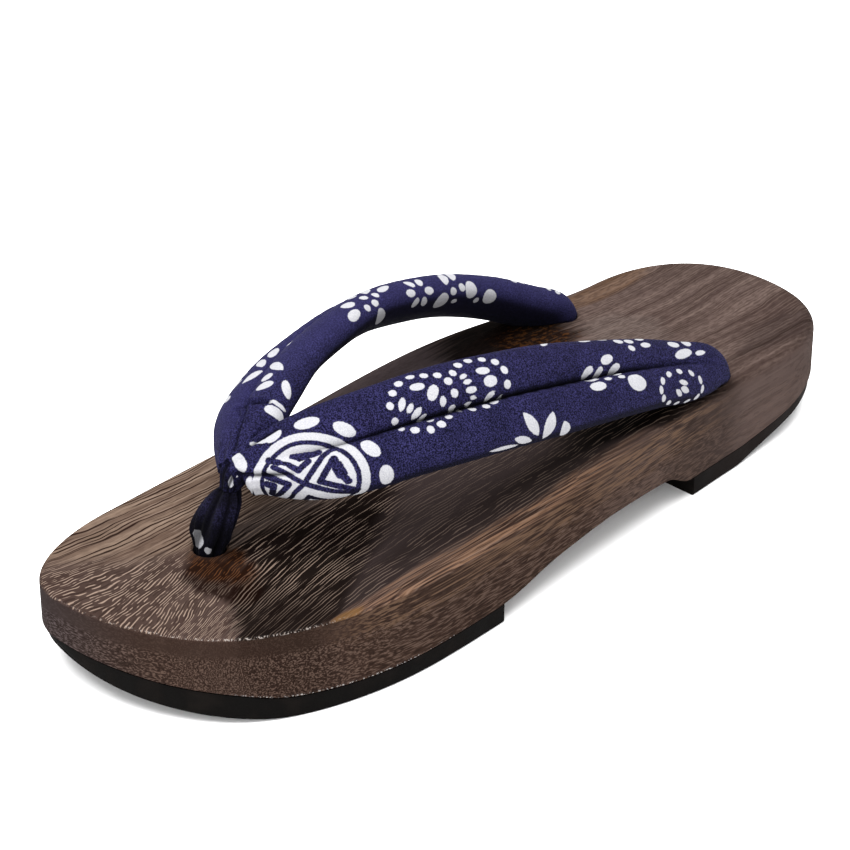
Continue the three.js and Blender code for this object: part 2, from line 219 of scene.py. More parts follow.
# Dark lines inside the medallion: half width, then points along and across from its middle
FRET_LINES = [
    (0.72, [(0, 0.4), (2.8, 3.7), (5.2, 6.6), (7, 7.9), (8.4, 8)]),
    (0.72, [(0, 0.4), (2.3, -1.1), (5.8, -3.5), (10.3, -5.9)]),
    (0.72, [(0, 0.4), (-3.4, 3.2), (-7.4, 6.6)]),
    (0.72, [(0, 0.4), (-3.7, -1.7), (-8.4, -7.4)]),
    (0.78, [(10.7, -5), (3.6, 0.1), (5.8, 3.3), (7.3, 5.4)]),
    (0.84, [(9.1, -1.7), (8.1, 0.7)]),
    (1.26, [(8.1, 0.7), (7.6, 3.3)]),
    (0.9, [(7.6, 3.3), (7.3, 5.2)]),
    (0.9, [(-8.4, 8.7), (-6, 7.5)]),
    (0.6, [(-6, 7.5), (-3.4, 6.4)]),
    (0.84, [(-3.2, 6.1), (-0.8, 4.2), (1.9, 6.1)]),
    (0.66, [(-2.3, 8.4), (0, 7.3)]),
    (0.96, [(0, 7.4), (4.4, 8)]),
    (0.6, [(-2.2, 8.5), (4.2, 8.2)]),
    (0.84, [(-10.6, -3.4), (-4.4, 1.1), (-10.4, 5.2)]),
    (0.96, [(-9.7, -0.9), (-8.3, 1.6), (-9.9, 2.6)]),
    (0.84, [(-5.8, -10), (0.1, -3.9), (6.4, -9.6)]),
    (0.96, [(-1.8, -9.4), (0.8, -7.2), (1.9, -9.2)]),
]
FAR_AWAY = 1000.0
# Rings of dots: along, across, half length, half height, count, dot length, dot width, dot's turn from
# pointing outward
OUTER_RINGS = [(147, -8.2, 10.4, 5.2, 12, 2.6, 1.8, 90)]
WREATH_DOTS = [
    (44, 1.9, 2.2, 2, 80),
    (44, 6.3, 2.3, 2, 80),
    (46.1, 9.6, 2.2, 2.1, 0),
    (48.9, 12, 2.4, 2.1, 20),
    (52.8, 13.2, 2.5, 1.7, 0),
    (56.4, 12.3, 2.4, 1.9, -10),
    (60, 11.2, 2.4, 2, -10),
    (64.6, 10.6, 2.2, 2.2, 0),
    (62, 8.6, 2.6, 2.3, 20),
    (62.4, 4.9, 2.6, 2.4, 80),
    (61.1, 0.9, 2.4, 2.1, 0),
    (63.6, -0.4, 1.6, 1.2, 0),
    (58.9, -1.6, 2.3, 1.7, 0),
    (55.6, -3.4, 2.6, 2.2, -10),
    (52.1, -4, 2.4, 2.2, 80),
    (48.1, -2.8, 2.6, 2.2, 0),
    (45, -1.3, 2.1, 1.3, 0),
    (66.9, -1.3, 2.6, 1.9, 0),
    (71.2, -1.8, 2.5, 1.9, 0),
    (74.7, -1.1, 2.6, 1.5, 0),
    (77.6, 0.3, 2.3, 1.5, 10),
    (80, 3.6, 2.6, 2.3, 80),
    (80.6, 7.7, 2.6, 2.3, 80),
    (79.3, 10.8, 2.6, 2.3, 20),
    (76.1, 12.8, 2.4, 2.1, 0),
    (71.8, 13.6, 2.6, 2.2, 0),
    (67.8, 12.8, 2.6, 2.2, 0),
]
WREATH_LEAVES = [
    (47.1, 5.8, 4.4, 1.9, 60),
    (48.8, 4.1, 3.5, 1.6, 50),
    (50.2, 2.3, 4.4, 2, 41),
    (51.8, 0.6, 3.7, 1.5, 27),
    (53.6, -1.2, 3, 1, 2),
    (58.4, 3.5, 3.4, 2, 78),
    (66.4, 0.8, 2.8, 1.4, -5),
    (68, 2.3, 2.8, 1.3, -8),
    (67.5, 7, 3.2, 1.5, 5),
    (67, 8.8, 3.2, 1.4, 16),
    (73.6, 1.5, 4.6, 1.9, 34),
    (145.2, -9.5, 4, 1.8, -30),
    (148, -8.6, 4.6, 2, -15),
    (147.4, -6.5, 4.6, 1.6, -10),
]
WREATH_PETALS = [
    (56.3, 6.6, 5, 3, 51),
    (52.9, 9.4, 4.2, 2.3, -3),
    (67.8, 4.6, 3.7, 1.9, 0),
    (74.7, 5.6, 4.5, 3.2, 4),
    (73.8, 9, 4.5, 2.3, -5),
]
# Petals round the medallion
MEDALLION_PETALS = [
    (22.2, 7.9, 6.8, 3.4, 2),
    (30.8, 3.7, 6.4, 3.5, -45),
    (35.4, -3.8, 6, 3.5, -60),
    (37.3, -12.2, 6, 3.8, -92),
    (13, 6.2, 5, 3, 28),
    (9.6, 5.4, 4, 1.3, -8),
    (7, 6, 2.6, 1.1, -15),
    (2.9, 1.2, 6.6, 3.2, 116),
    (4.2, -6, 6, 2.2, 70),
    (33, -19.4, 5.6, 3.6, -135),
    (24.5, -25.4, 5.6, 3.6, -165),
    (15, -25.6, 5.6, 3.6, -195),
    (6.5, -21, 5, 3.4, -225),
]
FAN_LEAVES = [
    (74, -15.2, 11, 1.5, -3),
    (80.6, -14.2, 7.6, 2.4, -20),
    (83.6, -10.2, 8.8, 3.4, -58),
    (90, -12, 8.4, 4, 65),
    (96.5, -14.6, 6.4, 3.6, -70),
]
SPRIG_LEAVES = [
    (111, -1.2, 6, 1.3, -8),
    (116.5, -2.2, 3, 1.3, -8),
    (122, -2.5, 3, 1.3, -8),
    (122, -0.9, 3.4, 1.3, -5),
]
SPRIG_PETALS = [
    (111.2, -4, 6.2, 2.8, 0),
    (110.2, 1.8, 5, 2.6, 30),
    (114.7, 1, 4.2, 2.6, 45),
    (121.2, 1.3, 4.8, 2.6, 25),
    (118.8, 4.4, 5.4, 2.7, 12),
    (126.8, -5, 7.4, 5.2, -5),
]
EDGE_LEAVES = [
    (101, 14.3, 4.4, 1.8, 30),
    (116.8, 13, 5, 1.8, 0),
    (124.6, 12.8, 4, 1.6, 0),
    (131.5, 6.7, 2.6, 2.2, 0),
    (138.5, 7.3, 4.4, 2.1, 5),
    (129, 10.3, 3.6, 2.6, 0),
    (133.2, 9.7, 3.6, 2.4, 0),
    (139.5, 10.8, 4.4, 2.2, 15),
    (135.5, 13.6, 5, 2.4, 10),
    (146.5, 14.2, 4.6, 1.8, 0),
    (153, 3.1, 9.2, 2.8, 12),
    (161.3, 3.3, 5.4, 1.6, 12),
    (151.5, 6.8, 5.4, 2.8, 5),
    (159.5, 8, 6, 3.2, 30),
    (157, 11.5, 5.4, 2.2, 8),
]
INNER_DOTS = [
    (15.6, 11.8, 6.4, 3, -80),
    (18.2, 12, 6, 1.3, -75),
    (26, 6.2, 5.6, 3.6, 80),
    (30, 5.4, 3.8, 3.2, 60),
    (24.8, 13.2, 7, 2.6, -22),
    (46.5, -3.2, 5.6, 3, -15),
    (54, 2.6, 6, 2.8, -25),
    (65.2, 15.8, 5.8, 3.2, -8),
    (71.6, 16.2, 2.3, 2.3, 0),
    (75.6, 16, 2.7, 2.3, 0),
    (68.3, 11.4, 4.4, 4, 0),
    (74.5, 12.4, 2.5, 2.6, 0),
    (78.4, 13.6, 2.2, 2.5, 0),
    (83.5, 12, 6, 2.8, -22),
    (78, 22, 9, 4, 60),
    (74.6, 8, 3.4, 2.8, -20),
    (86.4, 4, 5.6, 2.6, -40),
    (107.5, 12.3, 6, 3, -65),
    (112.4, 9.8, 8.4, 3, -60),
    (109.3, 17, 2.8, 2.4, 0),
    (113.3, 15.6, 2.8, 2.5, 0),
    (117.3, 16, 5, 5.6, 0),
    (126, 17.2, 5.6, 5, 0),
    (121, 19.2, 2.2, 2.2, 0),
    (105, 20.4, 5.6, 6, 30),
    (111.2, 20.4, 2.6, 1.8, 0),
    (139, 8.4, 3, 2.2, -40),
    (143, 7.4, 2.6, 2, -40),
    (156, 7.4, 2.4, 2, -40),
    (159.4, 8.6, 2.8, 2, -40),
]
INNER_LEAVES = [
    (34.8, 6.5, 8.4, 3, -55),
    (38.4, 1.3, 4.4, 1.6, -50),
    (34.4, -3.4, 7.2, 2.8, 35),
    (41, -4, 5.6, 3, -40),
    (48.8, 2.2, 9, 3.2, -45),
    (80, 8.2, 8.6, 3.2, -48),
]
# A plain six-petalled blossom on the inner arm
INNER_RINGS = [(95, 16.5, 3.8, 3.8, 6, 3.6, 2.4, 0)]
# Repeats on the faces turned away from the view: along, across, turn
OUTER_SPRAYS = [(34, 27, 20), (62, -26, 200), (92, 25, 40), (118, -24, 160), (148, 22, 10)]
INNER_SPRAYS = [(30, -13, 30), (56, -15, 190), (84, -12, 60), (112, -15, 150), (140, -11, 20)]
SPRAY = [
    (0, 0, 2.6, 2.6, 0),
    (4.6, 1.6, 5, 2.4, 20),
    (4.6, -1.6, 5, 2.4, -20),
    (-0.6, 4.6, 5, 2.4, 95),
    (-0.6, -4.6, 5, 2.4, -95),
    (-4.8, 1.8, 4.6, 2.2, 155),
    (-4.8, -1.8, 4.6, 2.2, -155),
    (9.2, 0, 2.2, 2, 0),
]
# White spots low on the thong and on the neck: turn round it in degrees, height, width and tallness
THONG_SPOTS = [(76, 31.6, 6.3, 5.0), (127, 29.9, 2.2, 2.4)]
NECK_SPOTS = [(129, 49.8, 3.0, 4.2)]
# Distance to the print that counts as none, and the groups that its leaves are shared out to
NO_PRINT = 5.0
PRINT_GROUPS = 4
TINY = 1e-6

# The wood is a chart of named looks, each a share from 0 to 1 over the sole. A name after off_ means what
# that look leaves, and after from_ the distance from that line.
# Fan of the grain ahead of a line across the deck, about an x
GRAIN_FAN = {"x": 20.0, "from": 50.0, "rate": 0.00013}
# Noise: vector that it follows, repeats per millimetre across and along it, detail
WOOD_NOISE = {
    "sway": ("place", 0.02, 0.012, 1),
    "ripple": ("place", 0.12, 0.06, 1),
    "wiggle": ("place", 0.35, 0.3, 0),
    "straight_noise": ("place", 1.9, 0.022, 2),
    "ember_noise": ("place", 0.9, 0.5, 2),
    "sparkle_noise": ("place", 1.5, 1.5, 1),
    "jitter": ("grain", 0.4, 0.02, 0),
    "band_noise": ("grain", 0.3, 0.011, 2),
    "streak_noise": ("grain", 0.8, 0.012, 1),
    "tone_noise": ("grain", 0.09, 0.012, 2),
    "figure_noise": ("grain", 1.2, 0.34, 1),
    "fleck_noise": ("grain", 2.4, 0.2, 1),
}
# How far noise moves the grain, the ragged edges of zones and the rim's edge, and the phase of lines
GRAIN_DRIFT = {"sway": 12.0, "ripple": 2.2, "wiggle": 0.45}
ZONE_STRAY = {"tone_noise": 20.0, "streak_noise": 14.0}
RIM_RAGGED = 0.3
LINE_JITTER = 8.0
# Vessels are crests or troughs of a wave across the grain, broken into lengths: the wave, its level where
# a line starts, its level where the line is full, length
WAVE_PITCH = {"long_wave": 1.08, "short_wave": 0.55}
VESSELS = {
    "light_lines": ("long_wave", 0.45, 0.85, 12),
    "dark_lines": ("long_wave", 0.1, -0.7, 30),
    "light_dashes": ("short_wave", 0.3, 0.85, 3.6),
    "dark_dashes": ("short_wave", -0.2, -0.8, 5.2),
}
VESSEL_BREAK = {"across": 1.5, "detail": 1.0, "from": 0.45, "full": 0.52}
# Lines across the deck: shares of x and y, shift, shares of the ragged edge and of the ripple
WOOD_LINES = {
    "inner_line": (1, 0, 0, 1, 0),
    "heel_line": (0, 1, 0, 1, 0),
    "toe_outer_line": (0.95, 1, 0, 1, 0),
    "toe_inner_line": (-1.16, 1, 0, 1, 0),
    "fore_line": (1.56, 1, 0, 0, 0),
    "arm_line": (1, -0.22, 25.5, 0, 0),
    "split_line": (1, 0, 27, 0, 4),
}
# Oval patches of the deck: x, y, half width, half length
WOOD_OVALS = {
    # Painted shadow of the far arm on the deck
    "black_oval": (26, -44, 18, 29),
    "glow_oval": (-6, 100.5, 14, 7.5),
    "hot_oval": (1, 95, 13, 8.5),
    "ember_oval": (19.5, -51, 14, 14),
    # Painted light: the deck between the arms is lightened against the strap's shadow
    "between_arms": (30, 2, 20, 44),
    "heel_pale": (5, -76, 14, 14),
    "heel_dark": (-27, -113, 8, 26),
    "rim_spot": (-42, 89.5, 2, 7),
    "heel_amber": (29.5, -95, 5, 24),
}
OVAL_EDGE = {"from": 1.1, "full": 0.6, "ragged": 0.04}
# Looks that come in over a span: what they depend on (up is the height of the surface's normal), where
# they start, where they are full, and their shares there if those are not 0 and 1
WOOD_SPANS = {
    "wall": ("up", 0.7, 0.25),
    "crest_low": ("up", 0.45, 0.6),
    "crest_high": ("up", 0.92, 0.8),
    "lip_high": ("up", -0.1, -0.3),
    "lip_low": ("up", -0.9, -0.7),
    "upper_height": ("z", 17, 22),
    "fleck_height": ("z", 20, 22.5, 1, 0.2),
    "fan_outer": ("x", -44, -10, 0.25, 1),
    "fan_inner": ("x", 20, 40, 1, 0.5),
    "fore_edge": ("x", -24, -32, 0, 0.6),
    "thong_side": ("x", 19, 8),
    "grey_inner": ("x", -15, 30),
    "line_side": ("x", -22, -32, 1, 0.5),
    "crest_side": ("x", 12, -15, 0.12, 0.8),
    "lip_side": ("x", 6, -12),
    "rim_shift": ("y", 55, 70, 1.2, 2.4),
    "tan_length": ("y", 25, 55),
    "thong_rear": ("y", 92, 84),
    "arm_rear": ("y", -84, -70),
    "arm_front": ("y", -4, -24),
    "rim_length": ("y", -45, 0),
    "rim_tone": ("y", 45, 75),
    "grey_fore": ("y", 60, 100),
    "bare_length": ("y", -90, 20, 0.2, 0.8),
    "heel_length": ("y", -40, -85),
    "waist_front": ("y", 5, -20),
    "waist_rear": ("y", -75, -50),
    "upper_rear": ("y", -80, -45),
    "upper_front": ("y", 100, 75),
    "split_length": ("y", -74, -90),
    "line_length": ("y", 86, 98, 1, 0.5),
    "fleck_length": ("y", -100, -20, 0.3, 1),
    "crest_length": ("y", 80, 105),
    "lip_rear": ("y", 38, 64),
    "lip_front": ("y", 122, 108),
    "inner": ("inner_line", -0.5, 3.5),
    "heel": ("heel_line", -35, -75),
    "toe_outer": ("toe_outer_line", 85, 92),
    "toe_inner": ("toe_inner_line", 80, 96),
    "fore_deck": ("fore_line", 14, 32),
    "rim": ("rim_line", -36.5, -40.5),
    # Painted shadow along the near arm's lower edge on the deck
    "arm_strip": ("from_arm_line", 7.5, 4.5),
    "split": ("from_split_line", 1.1, 0.3),
    "bands": ("band_noise", 0.34, 0.66),
    "tan_bands": ("band_noise", 0.3, 0.7),
    "rim_bright": ("straight_noise", 0.46, 0.58),
    "wall_bright": ("straight_noise", 0.46, 0.6),
    "dark_streaks": ("straight_noise", 0.47, 0.36),
    "figure": ("figure_noise", 0.4, 0.62, 0, 0.4),
    "embers": ("ember_noise", 0.5, 0.64),
    "pale_flecks": ("fleck_noise", 0.5, 0.62),
    "dark_flecks": ("fleck_noise", 0.46, 0.36),
    "gloss": ("fleck_noise", 0.35, 0.65, 0.3, 0.2),
    "sparkle": ("sparkle_noise", 0.55, 0.65),
    "burnt_lines": ("fore", 0, 1, 0.3, 0.8),
    "glow_dashes": ("glow", 0, 1, 1, 0.3),
}
# Looks where others meet, and looks that are the greatest of others, each with a strength
WOOD_ZONES = {
    "deck": "off_wall",
    "toe": "toe_outer toe_inner",
    # Charred middle of the deck, which also carries painted shade under the strap
    "burnt": "off_inner off_toe_outer off_rim off_heel",
    "fore_rim": "rim rim_length",
    "tan": "inner tan_length off_toe",
    "beside_thong": "tan thong_side thong_rear",
    "glow": "glow_oval deck",
    "hot": "hot_oval deck",
    "ember": "ember_oval deck",
    "grey_side": "grey_inner grey_fore",
    "upper_wall": "wall upper_height upper_rear upper_front",
    "sanded": "wall fleck_height fleck_length",
    # Painted highlight along the top edge of the toe
    "crest": "crest_low crest_high crest_length crest_side",
    # Painted highlight on the wood's lower bevel over the front pad
    "lip": "lip_high lip_low lip_side lip_rear lip_front",
}
WOOD_GREATEST = {
    "fore": {"fore_deck": 1.0, "fore_edge": 1.0},
    # Painted strap shadow: under the far arm, and along the near arm's lower edge
    "black": {"black_oval off_rim": 1.0, "arm_strip arm_rear arm_front": 1.0},
    "deep": {"beside_thong": 1.0, "fore_rim": 1.0},
    "figured": {"heel": 1.0, "inner": 0.5},
    "dark_share": {"tan": 1.0, "fore_rim deck": 0.4, "heel": 0.2},
    "light_share": {"burnt burnt_lines": 1.0, "tan": 0.62, "rim": 0.35, "heel": 0.14},
    "dash_share": {"toe glow_dashes": 1.0, "hot": 0.65},
    "raised": {"light_lines off_toe": 1.0, "light_dashes toe": 1.0},
}
# Screen colours laid over one another: where, how strongly, and one colour or two with the look that
# runs between them
WOOD_GROUND = ((92, 75, 70), (126, 107, 100), "bands")
WOOD_LAYERS = [
    ("tan", 1, (118, 96, 83), (163, 139, 121), "tan_bands"),
    ("toe", 0.75, (80, 62, 55)),
    ("beside_thong", 0.85, (94, 82, 79)),
    # Charred middle of the deck with painted shade under the strap
    ("burnt", 0.95, (78, 66, 65), (19, 12, 10), "fore"),
    # Painted light between the arms, against the strap's shadow
    ("between_arms inner", 0.9, (108, 95, 97)),
    ("heel_pale", 0.6, (130, 115, 109)),
    ("heel_dark", 0.6, (66, 54, 52)),
    ("fore_rim", 0.8, (92, 70, 59), (98, 74, 62), "rim_tone"),
    ("fore_rim deck rim_bright", 0.9, (158, 122, 98)),
    ("fore_rim deck dark_streaks", 0.7, (44, 31, 26)),
    # Painted strap shadow, near black
    ("black", 0.94, (17, 12, 10)),
    ("rim_spot deck", 0.7, (140, 102, 58)),
    ("ember", 0.95, (32, 20, 15)),
    ("heel_amber", 0.4, (132, 96, 60)),
    ("glow", 0.9, (27, 12, 7)),
    ("hot", 0.85, (42, 24, 15)),
    ("wall bare_length", 1, (64, 47, 39), (66, 57, 57), "grey_side"),
    ("wall heel_length", 0.6, (118, 100, 95)),
    ("wall waist_front waist_rear", 0.35, (118, 98, 90)),
    ("upper_wall wall_bright", 0.7, (142, 112, 90)),
    ("upper_wall dark_streaks", 0.6, (42, 29, 24)),
    ("split split_length deck", 0.6, (38, 26, 23)),
    ("dark_lines dark_share", 1, (50, 35, 29), (24, 17, 14), "deep"),
    ("figure deck figured", 1, (66, 51, 46)),
    ("light_lines light_share line_length line_side deck", 1, (186, 161, 144), (128, 82, 52), "hot"),
    ("dark_dashes toe deck", 0.55, (50, 37, 32)),
    ("light_dashes deck dash_share", 1, (186, 161, 144), (128, 82, 52), "hot"),
    ("embers ember", 0.6, (104, 66, 36)),
    ("pale_flecks sanded", 0.7, (126, 103, 91), (120, 107, 108), "grey_side"),
    ("dark_flecks sanded", 0.6, (38, 27, 22)),
    # Painted highlight on the top edge of the toe, broken up by the sparkle noise
    ("crest sparkle", 1, (210, 198, 190)),
    # Painted highlight on the wood's lower bevel, broken up by the sparkle noise
    ("lip sparkle", 0.85, (236, 230, 228)),
]
WOOD_BUMP = {"strength": 0.3, "distance": 0.12}
WOOD_FINISH = {"Roughness": 0.5, "Specular_IOR_Level": 0.0, "Coat_Weight": 0.02}

# Rubber: its grain and dust, its blacks, and the dusty heel
RUBBER_GRAIN = {"scale": 2.2, "detail": 3.0}
RUBBER_DUST = {"scale": 0.12, "detail": 4.0}
RUBBER_BLACKS = ((21, 19, 18), (33, 29, 27))
RUBBER_HEEL = (46, 38, 36)
RUBBER_SPANS = {"dust": (0.45, 0.75), "heel": (-50.0, -80.0, 0.0, 0.7), "rough": (0.3, 0.7, 0.62, 0.8)}
RUBBER_BUMP = {"strength": 0.4, "distance": 0.15}
RUBBER_SPECULAR = 0.02

# Cloth: threads, speckle and mottle, its navies as screen colours, and their dark and pale threads
THREAD_PITCH = 0.55
SPECKLE = {"scale": 2.6, "detail": 1.0}
MOTTLE = {"scale": 0.13, "detail": 2.0}
STRAP_NAVY = (39, 37, 78)
THONG_NAVY = (27, 25, 49)
DARK_THREAD = 0.52
PALE_THREAD = {"gain": 1.33, "lift": 17}
PRINT_WHITES = ((226, 226, 235), (252, 252, 255))
CLOTH_SHADE = (10, 9, 13)
CREASE_SHADE = (6, 5, 10)
# Heights under which the cloth grows darker toward the wood, and where the tie pulls it into painted shade
STRAP_DARKER_BELOW = 34.0
THONG_DARKER_BELOW = 41.0
LOW_DARKENING = {"reach": 6.0, "share": 0.82}
TIE = (4.6, 86.6, 46.6)
# Spans as for the wood: tied (painted shade) by the distance to the tie, under (painted shade) by the
# normal's height, far_side_light (painted light) by x
CLOTH_SPANS = {
    "speckle": (0.36, 0.7),
    "mottle": (0.35, 0.75, 0, 0.3),
    "white": (0.25, 0.8),
    "tied": (8, 4, 0, 0.7),
    "under": (0.05, -0.4, 0, 0.75),
    "far_side_light": (8, 22, 0, 0.34),
    "print_edge": (0.12, -0.12),
    "crease": (0.1, 1, 0, 0.8),
}
PRINT_FRAY = 0.5
WEAVE_SHARE = 0.35
CLOTH_BUMP = {"strength": 0.3, "distance": 0.18}
CLOTH_FINISH = {"Roughness": 0.9, "Specular_IOR_Level": 0.02, "Sheen_Weight": 0.006, "Sheen_Roughness": 0.5}
NOISE_MIDDLE = 0.5

# Studio: a pale floor and two round lights, each with its place, size across and power in watts
FLOOR_REACH = 6000
FLOOR_GREYS = (0.9, 0.93)
FLOOR_NOISE = {"scale": 0.004, "detail": 1.0}
FLOOR_FINISH = {"Roughness": 0.9, "Specular_IOR_Level": 0.1}
LIGHT_AIM = (0, 0, 30)
LIGHTS = {"fill": ((-750, 800, 450), 1000, 7.0), "key": ((-50, 300, 1700), 2000, 84.0)}


def radians(degrees):
    return degrees * math.pi / 180


def smooth_step(value, low, high):
    share = np.clip((value - low) / (high - low), 0, 1)
    return share * share * (3 - 2 * share)


def blend_rows(rows, positions):
    """Smooth values between table rows, for every column at once."""
    positions = np.asarray(positions, float)
    index = np.minimum(positions.astype(int), len(rows) - 2)
    part = (positions - index)[:, None]
    before = rows[np.maximum(index - 1, 0)]
    start = rows[index]
    end = rows[index + 1]
    after = rows[np.minimum(index + 2, len(rows) - 1)]
    rise = (end - before) / 2
    fall = (after - start) / 2
    step = end - start
    bend = 3 * step - 2 * rise - fall
    twist = rise + fall - 2 * step
    return start + part * (rise + part * (bend + part * twist))


def underside(column, plan):
    """Height of the wood (1) or rubber (2) underside over places on the floor, with no overshoot
    between the rows."""
    turned = TOE_TURN["share"] * smooth_step(plan[:, 1], TOE_TURN["from"], TOE_TURN["full"])
    run_on = plan[:, 1] + turned * plan[:, 0]
    place = UNDERSIDE[:, 0]
    height = UNDERSIDE[:, column]
    slope = np.diff(height) / np.diff(place)
    product = slope[:-1] * slope[1:]
    total = np.where(product > 0, slope[:-1] + slope[1:], 1)
    middle = np.where(product > 0, 2 * product / total, 0)
    tangent = np.concatenate(([slope[0]], middle, [slope[-1]]))
    inside = np.clip(run_on, place[0], place[-1])
    index = np.clip(np.searchsorted(place, inside) - 1, 0, len(place) - 2)
    run = place[index + 1] - place[index]
    part = (inside - place[index]) / run
    rise = tangent[index] * run
    fall = tangent[index + 1] * run
    step = height[index + 1] - height[index]
    bend = 3 * step - 2 * rise - fall
    return height[index] + part * (rise + part * (bend + part * (rise + fall - 2 * step)))


def deck_height(y):
    slope = TOP_AT_HEEL + (y + TIP_Y) / (2 * TIP_Y) * (TOP_AT_TOE - TOP_AT_HEEL)
    away = np.minimum(np.abs(y - ARCH_HUMP["y"]) / ARCH_HUMP["reach"], 1)
    return slope + ARCH_HUMP["height"] * 0.5 * (1 + np.cos(np.pi * away))


def edge_radius(y):
    soft = 1 - smooth_step(y, TOP_EDGE_ROUND["heel_from"], TOP_EDGE_ROUND["toe_from"])
    return TOP_EDGE_ROUND["toe"] + (TOP_EDGE_ROUND["heel"] - TOP_EDGE_ROUND["toe"]) * soft


def edge_points(landmarks):
    """One side of the sole's edge as evenly spaced points from heel end to toe tip."""
    fine = []
    t = np.linspace(0, 1, EDGE_FINE_STEPS)[:, None]
    for start, end in zip(landmarks, landmarks[1:]):
        ax, ay, leaving, _, lean_ahead = start
        dx, dy, arriving, lean_back, _ = end
        a = np.array([ax, ay])
        d = np.array([dx, dy])
        b = a + lean_ahead * np.array([math.cos(radians(leaving)), math.sin(radians(leaving))])
        c = d - lean_back * np.array([math.cos(radians(arriving)), math.sin(radians(arriving))])
        fine.append(a * (1 - t) ** 3 + 3 * b * t * (1 - t) ** 2 + 3 * c * t * t * (1 - t) + d * t ** 3)
    line = np.concatenate(fine)
    run = np.concatenate(([0], np.cumsum(np.hypot(*np.diff(line, axis=0).T))))
    even = np.linspace(0, run[-1], SIDE_STEPS + 1)
    return np.stack([np.interp(even, run, line[:, 0]), np.interp(even, run, line[:, 1])], axis=1)


def sole_edge():
    inner = edge_points(INNER_EDGE)
    outer = edge_points(OUTER_EDGE)
    return np.concatenate([inner, outer[1:-1][::-1]])


SOLE_EDGE = sole_edge()
EDGE_ALONG = np.roll(SOLE_EDGE, -1, axis=0) - np.roll(SOLE_EDGE, 1, axis=0)
EDGE_INWARD = np.stack([-EDGE_ALONG[:, 1], EDGE_ALONG[:, 0]], axis=1)
EDGE_INWARD /= np.linalg.norm(EDGE_INWARD, axis=1)[:, None]


def make_piece(name, points, faces):
    """A mesh object from points in millimetres."""
    mesh = bpy.data.meshes.new(name)
    mesh.from_pydata((np.asarray(points) * MM).tolist(), [], faces)
    mesh.update()
    piece = bpy.data.objects.new(name, mesh)
    bpy.context.scene.collection.objects.link(piece)
    return piece


def combine(piece, other, operation):
    """Joins or cuts a piece with another, which is then gone."""
    step = piece.modifiers.new("combine", "BOOLEAN")
    step.operation = operation
    step.solver = "MANIFOLD"
    step.object = other
    graph = bpy.context.evaluated_depsgraph_get()
    mesh = bpy.data.meshes.new_from_object(piece.evaluated_get(graph))
    mesh.name = piece.name
    piece.modifiers.clear()
    piece.data = mesh
    bpy.data.objects.remove(other)


def shade(piece, sharp_from):
    """Smooth shading, with edges sharper than an angle kept crisp."""
    piece.data.shade_smooth()
    piece.data.set_sharp_from_angle(angle=radians(sharp_from))


def sole_piece(name, rings):
    """A closed plate with the sole's outline: rings from its lower face to its upper one, each
    an inset over y and a height over a place, with both faces filled by rows across."""
    count = len(SOLE_EDGE)
    y = SOLE_EDGE[:, 1]
    points = []
    for inset, height in rings:
        plan = SOLE_EDGE + EDGE_INWARD * inset(y)[:, None]
        points.extend(np.column_stack([plan, height(SOLE_EDGE)]))
    faces = []
    for ring in range(len(rings) - 1):
        low = ring * count
        high = low + count
        for k in range(count):
            after = (k + 1) % count
            faces.append((low + k, low + after, high + after, high + k))
    for ring, upward in ((0, False), (len(rings) - 1, True)):
        fill_across(points, faces, ring * count, rings[ring][1], upward)
    return make_piece(name, points, faces)


def fill_across(points, faces, start, height, upward):
    """Rows of faces between the paired inner and outer points of one ring."""
    count = len(SOLE_EDGE)
    rows = []
    for k in range(SIDE_STEPS + 1):
        right = start + k
        left = start + (count - k) % count
        row = [right]
        if left != right:
            for column in range(1, DECK_COLUMNS):
                share = column / DECK_COLUMNS
                p = points[right] * (1 - share) + points[left] * share
                row.append(len(points))
                points.append(np.array([p[0], p[1], float(height(p[None, :2])[0])]))
            row.append(left)
        rows.append(row)
    for near, far in zip(rows, rows[1:]):
        for column in range(DECK_COLUMNS):
            corners = []
            for row, place in ((near, column), (far, column), (far, column + 1), (near, column + 1)):
                corner = row[min(place, len(row) - 1)]
                if corner not in corners:
                    corners.append(corner)
            faces.append(tuple(corners if upward else reversed(corners)))


def hole_plug(hole):
    """A round cutter for a blind hole with a small chamfer at its mouth."""
    x, y, radius = hole
    mouth = float(deck_height(np.array(y)))
    profile = [
        (radius, HOLE_FLOOR),
        (radius, mouth - HOLE_CHAMFER),
        (radius + 2 * HOLE_CHAMFER, mouth + HOLE_CHAMFER),
        (radius + 2 * HOLE_CHAMFER, mouth + HOLE_CUTTER_ABOVE),
    ]
    turn = np.linspace(0, 2 * np.pi, HOLE_SIDES, endpoint=False)
    rings = [np.column_stack([x + r * np.cos(turn), y + r * np.sin(turn), np.full(HOLE_SIDES, z)])
             for r, z in profile]
    return loft("hole_plug", np.array(rings))


def loft(name, rings):
    """A closed skin through rings of equal size, with a fan over each end."""
    stations, sides, _ = rings.shape
    points = np.concatenate([rings.reshape(-1, 3), [rings[0].mean(0)], [rings[-1].mean(0)]])
    first = stations * sides
    last = first + 1
    end = (stations - 1) * sides
    faces = []
    for row in range(stations - 1):
        for k in range(sides):
            a = row * sides + k
            b = row * sides + (k + 1) % sides
            faces.append((a, b, b + sides, a + sides))
    for k in range(sides):
        after = (k + 1) % sides
        faces.append((first, after, k))
        faces.append((last, end + k, end + after))
    return make_piece(name, points, faces)


def lower_edge(column, inset, radius):
    """Rings round the lower edge of the wood (1) or of the rubber (2)."""
    rings = []
    for k in range(LOWER_ROUND_STEPS + 1):
        turn = k / LOWER_ROUND_STEPS * math.pi / 2
        rings.append((
            lambda y, turn=turn: np.full_like(y, inset + radius * (1 - math.sin(turn))),
            lambda plan, turn=turn: underside(column, plan) + radius * (1 - math.cos(turn)),
        ))
    return rings


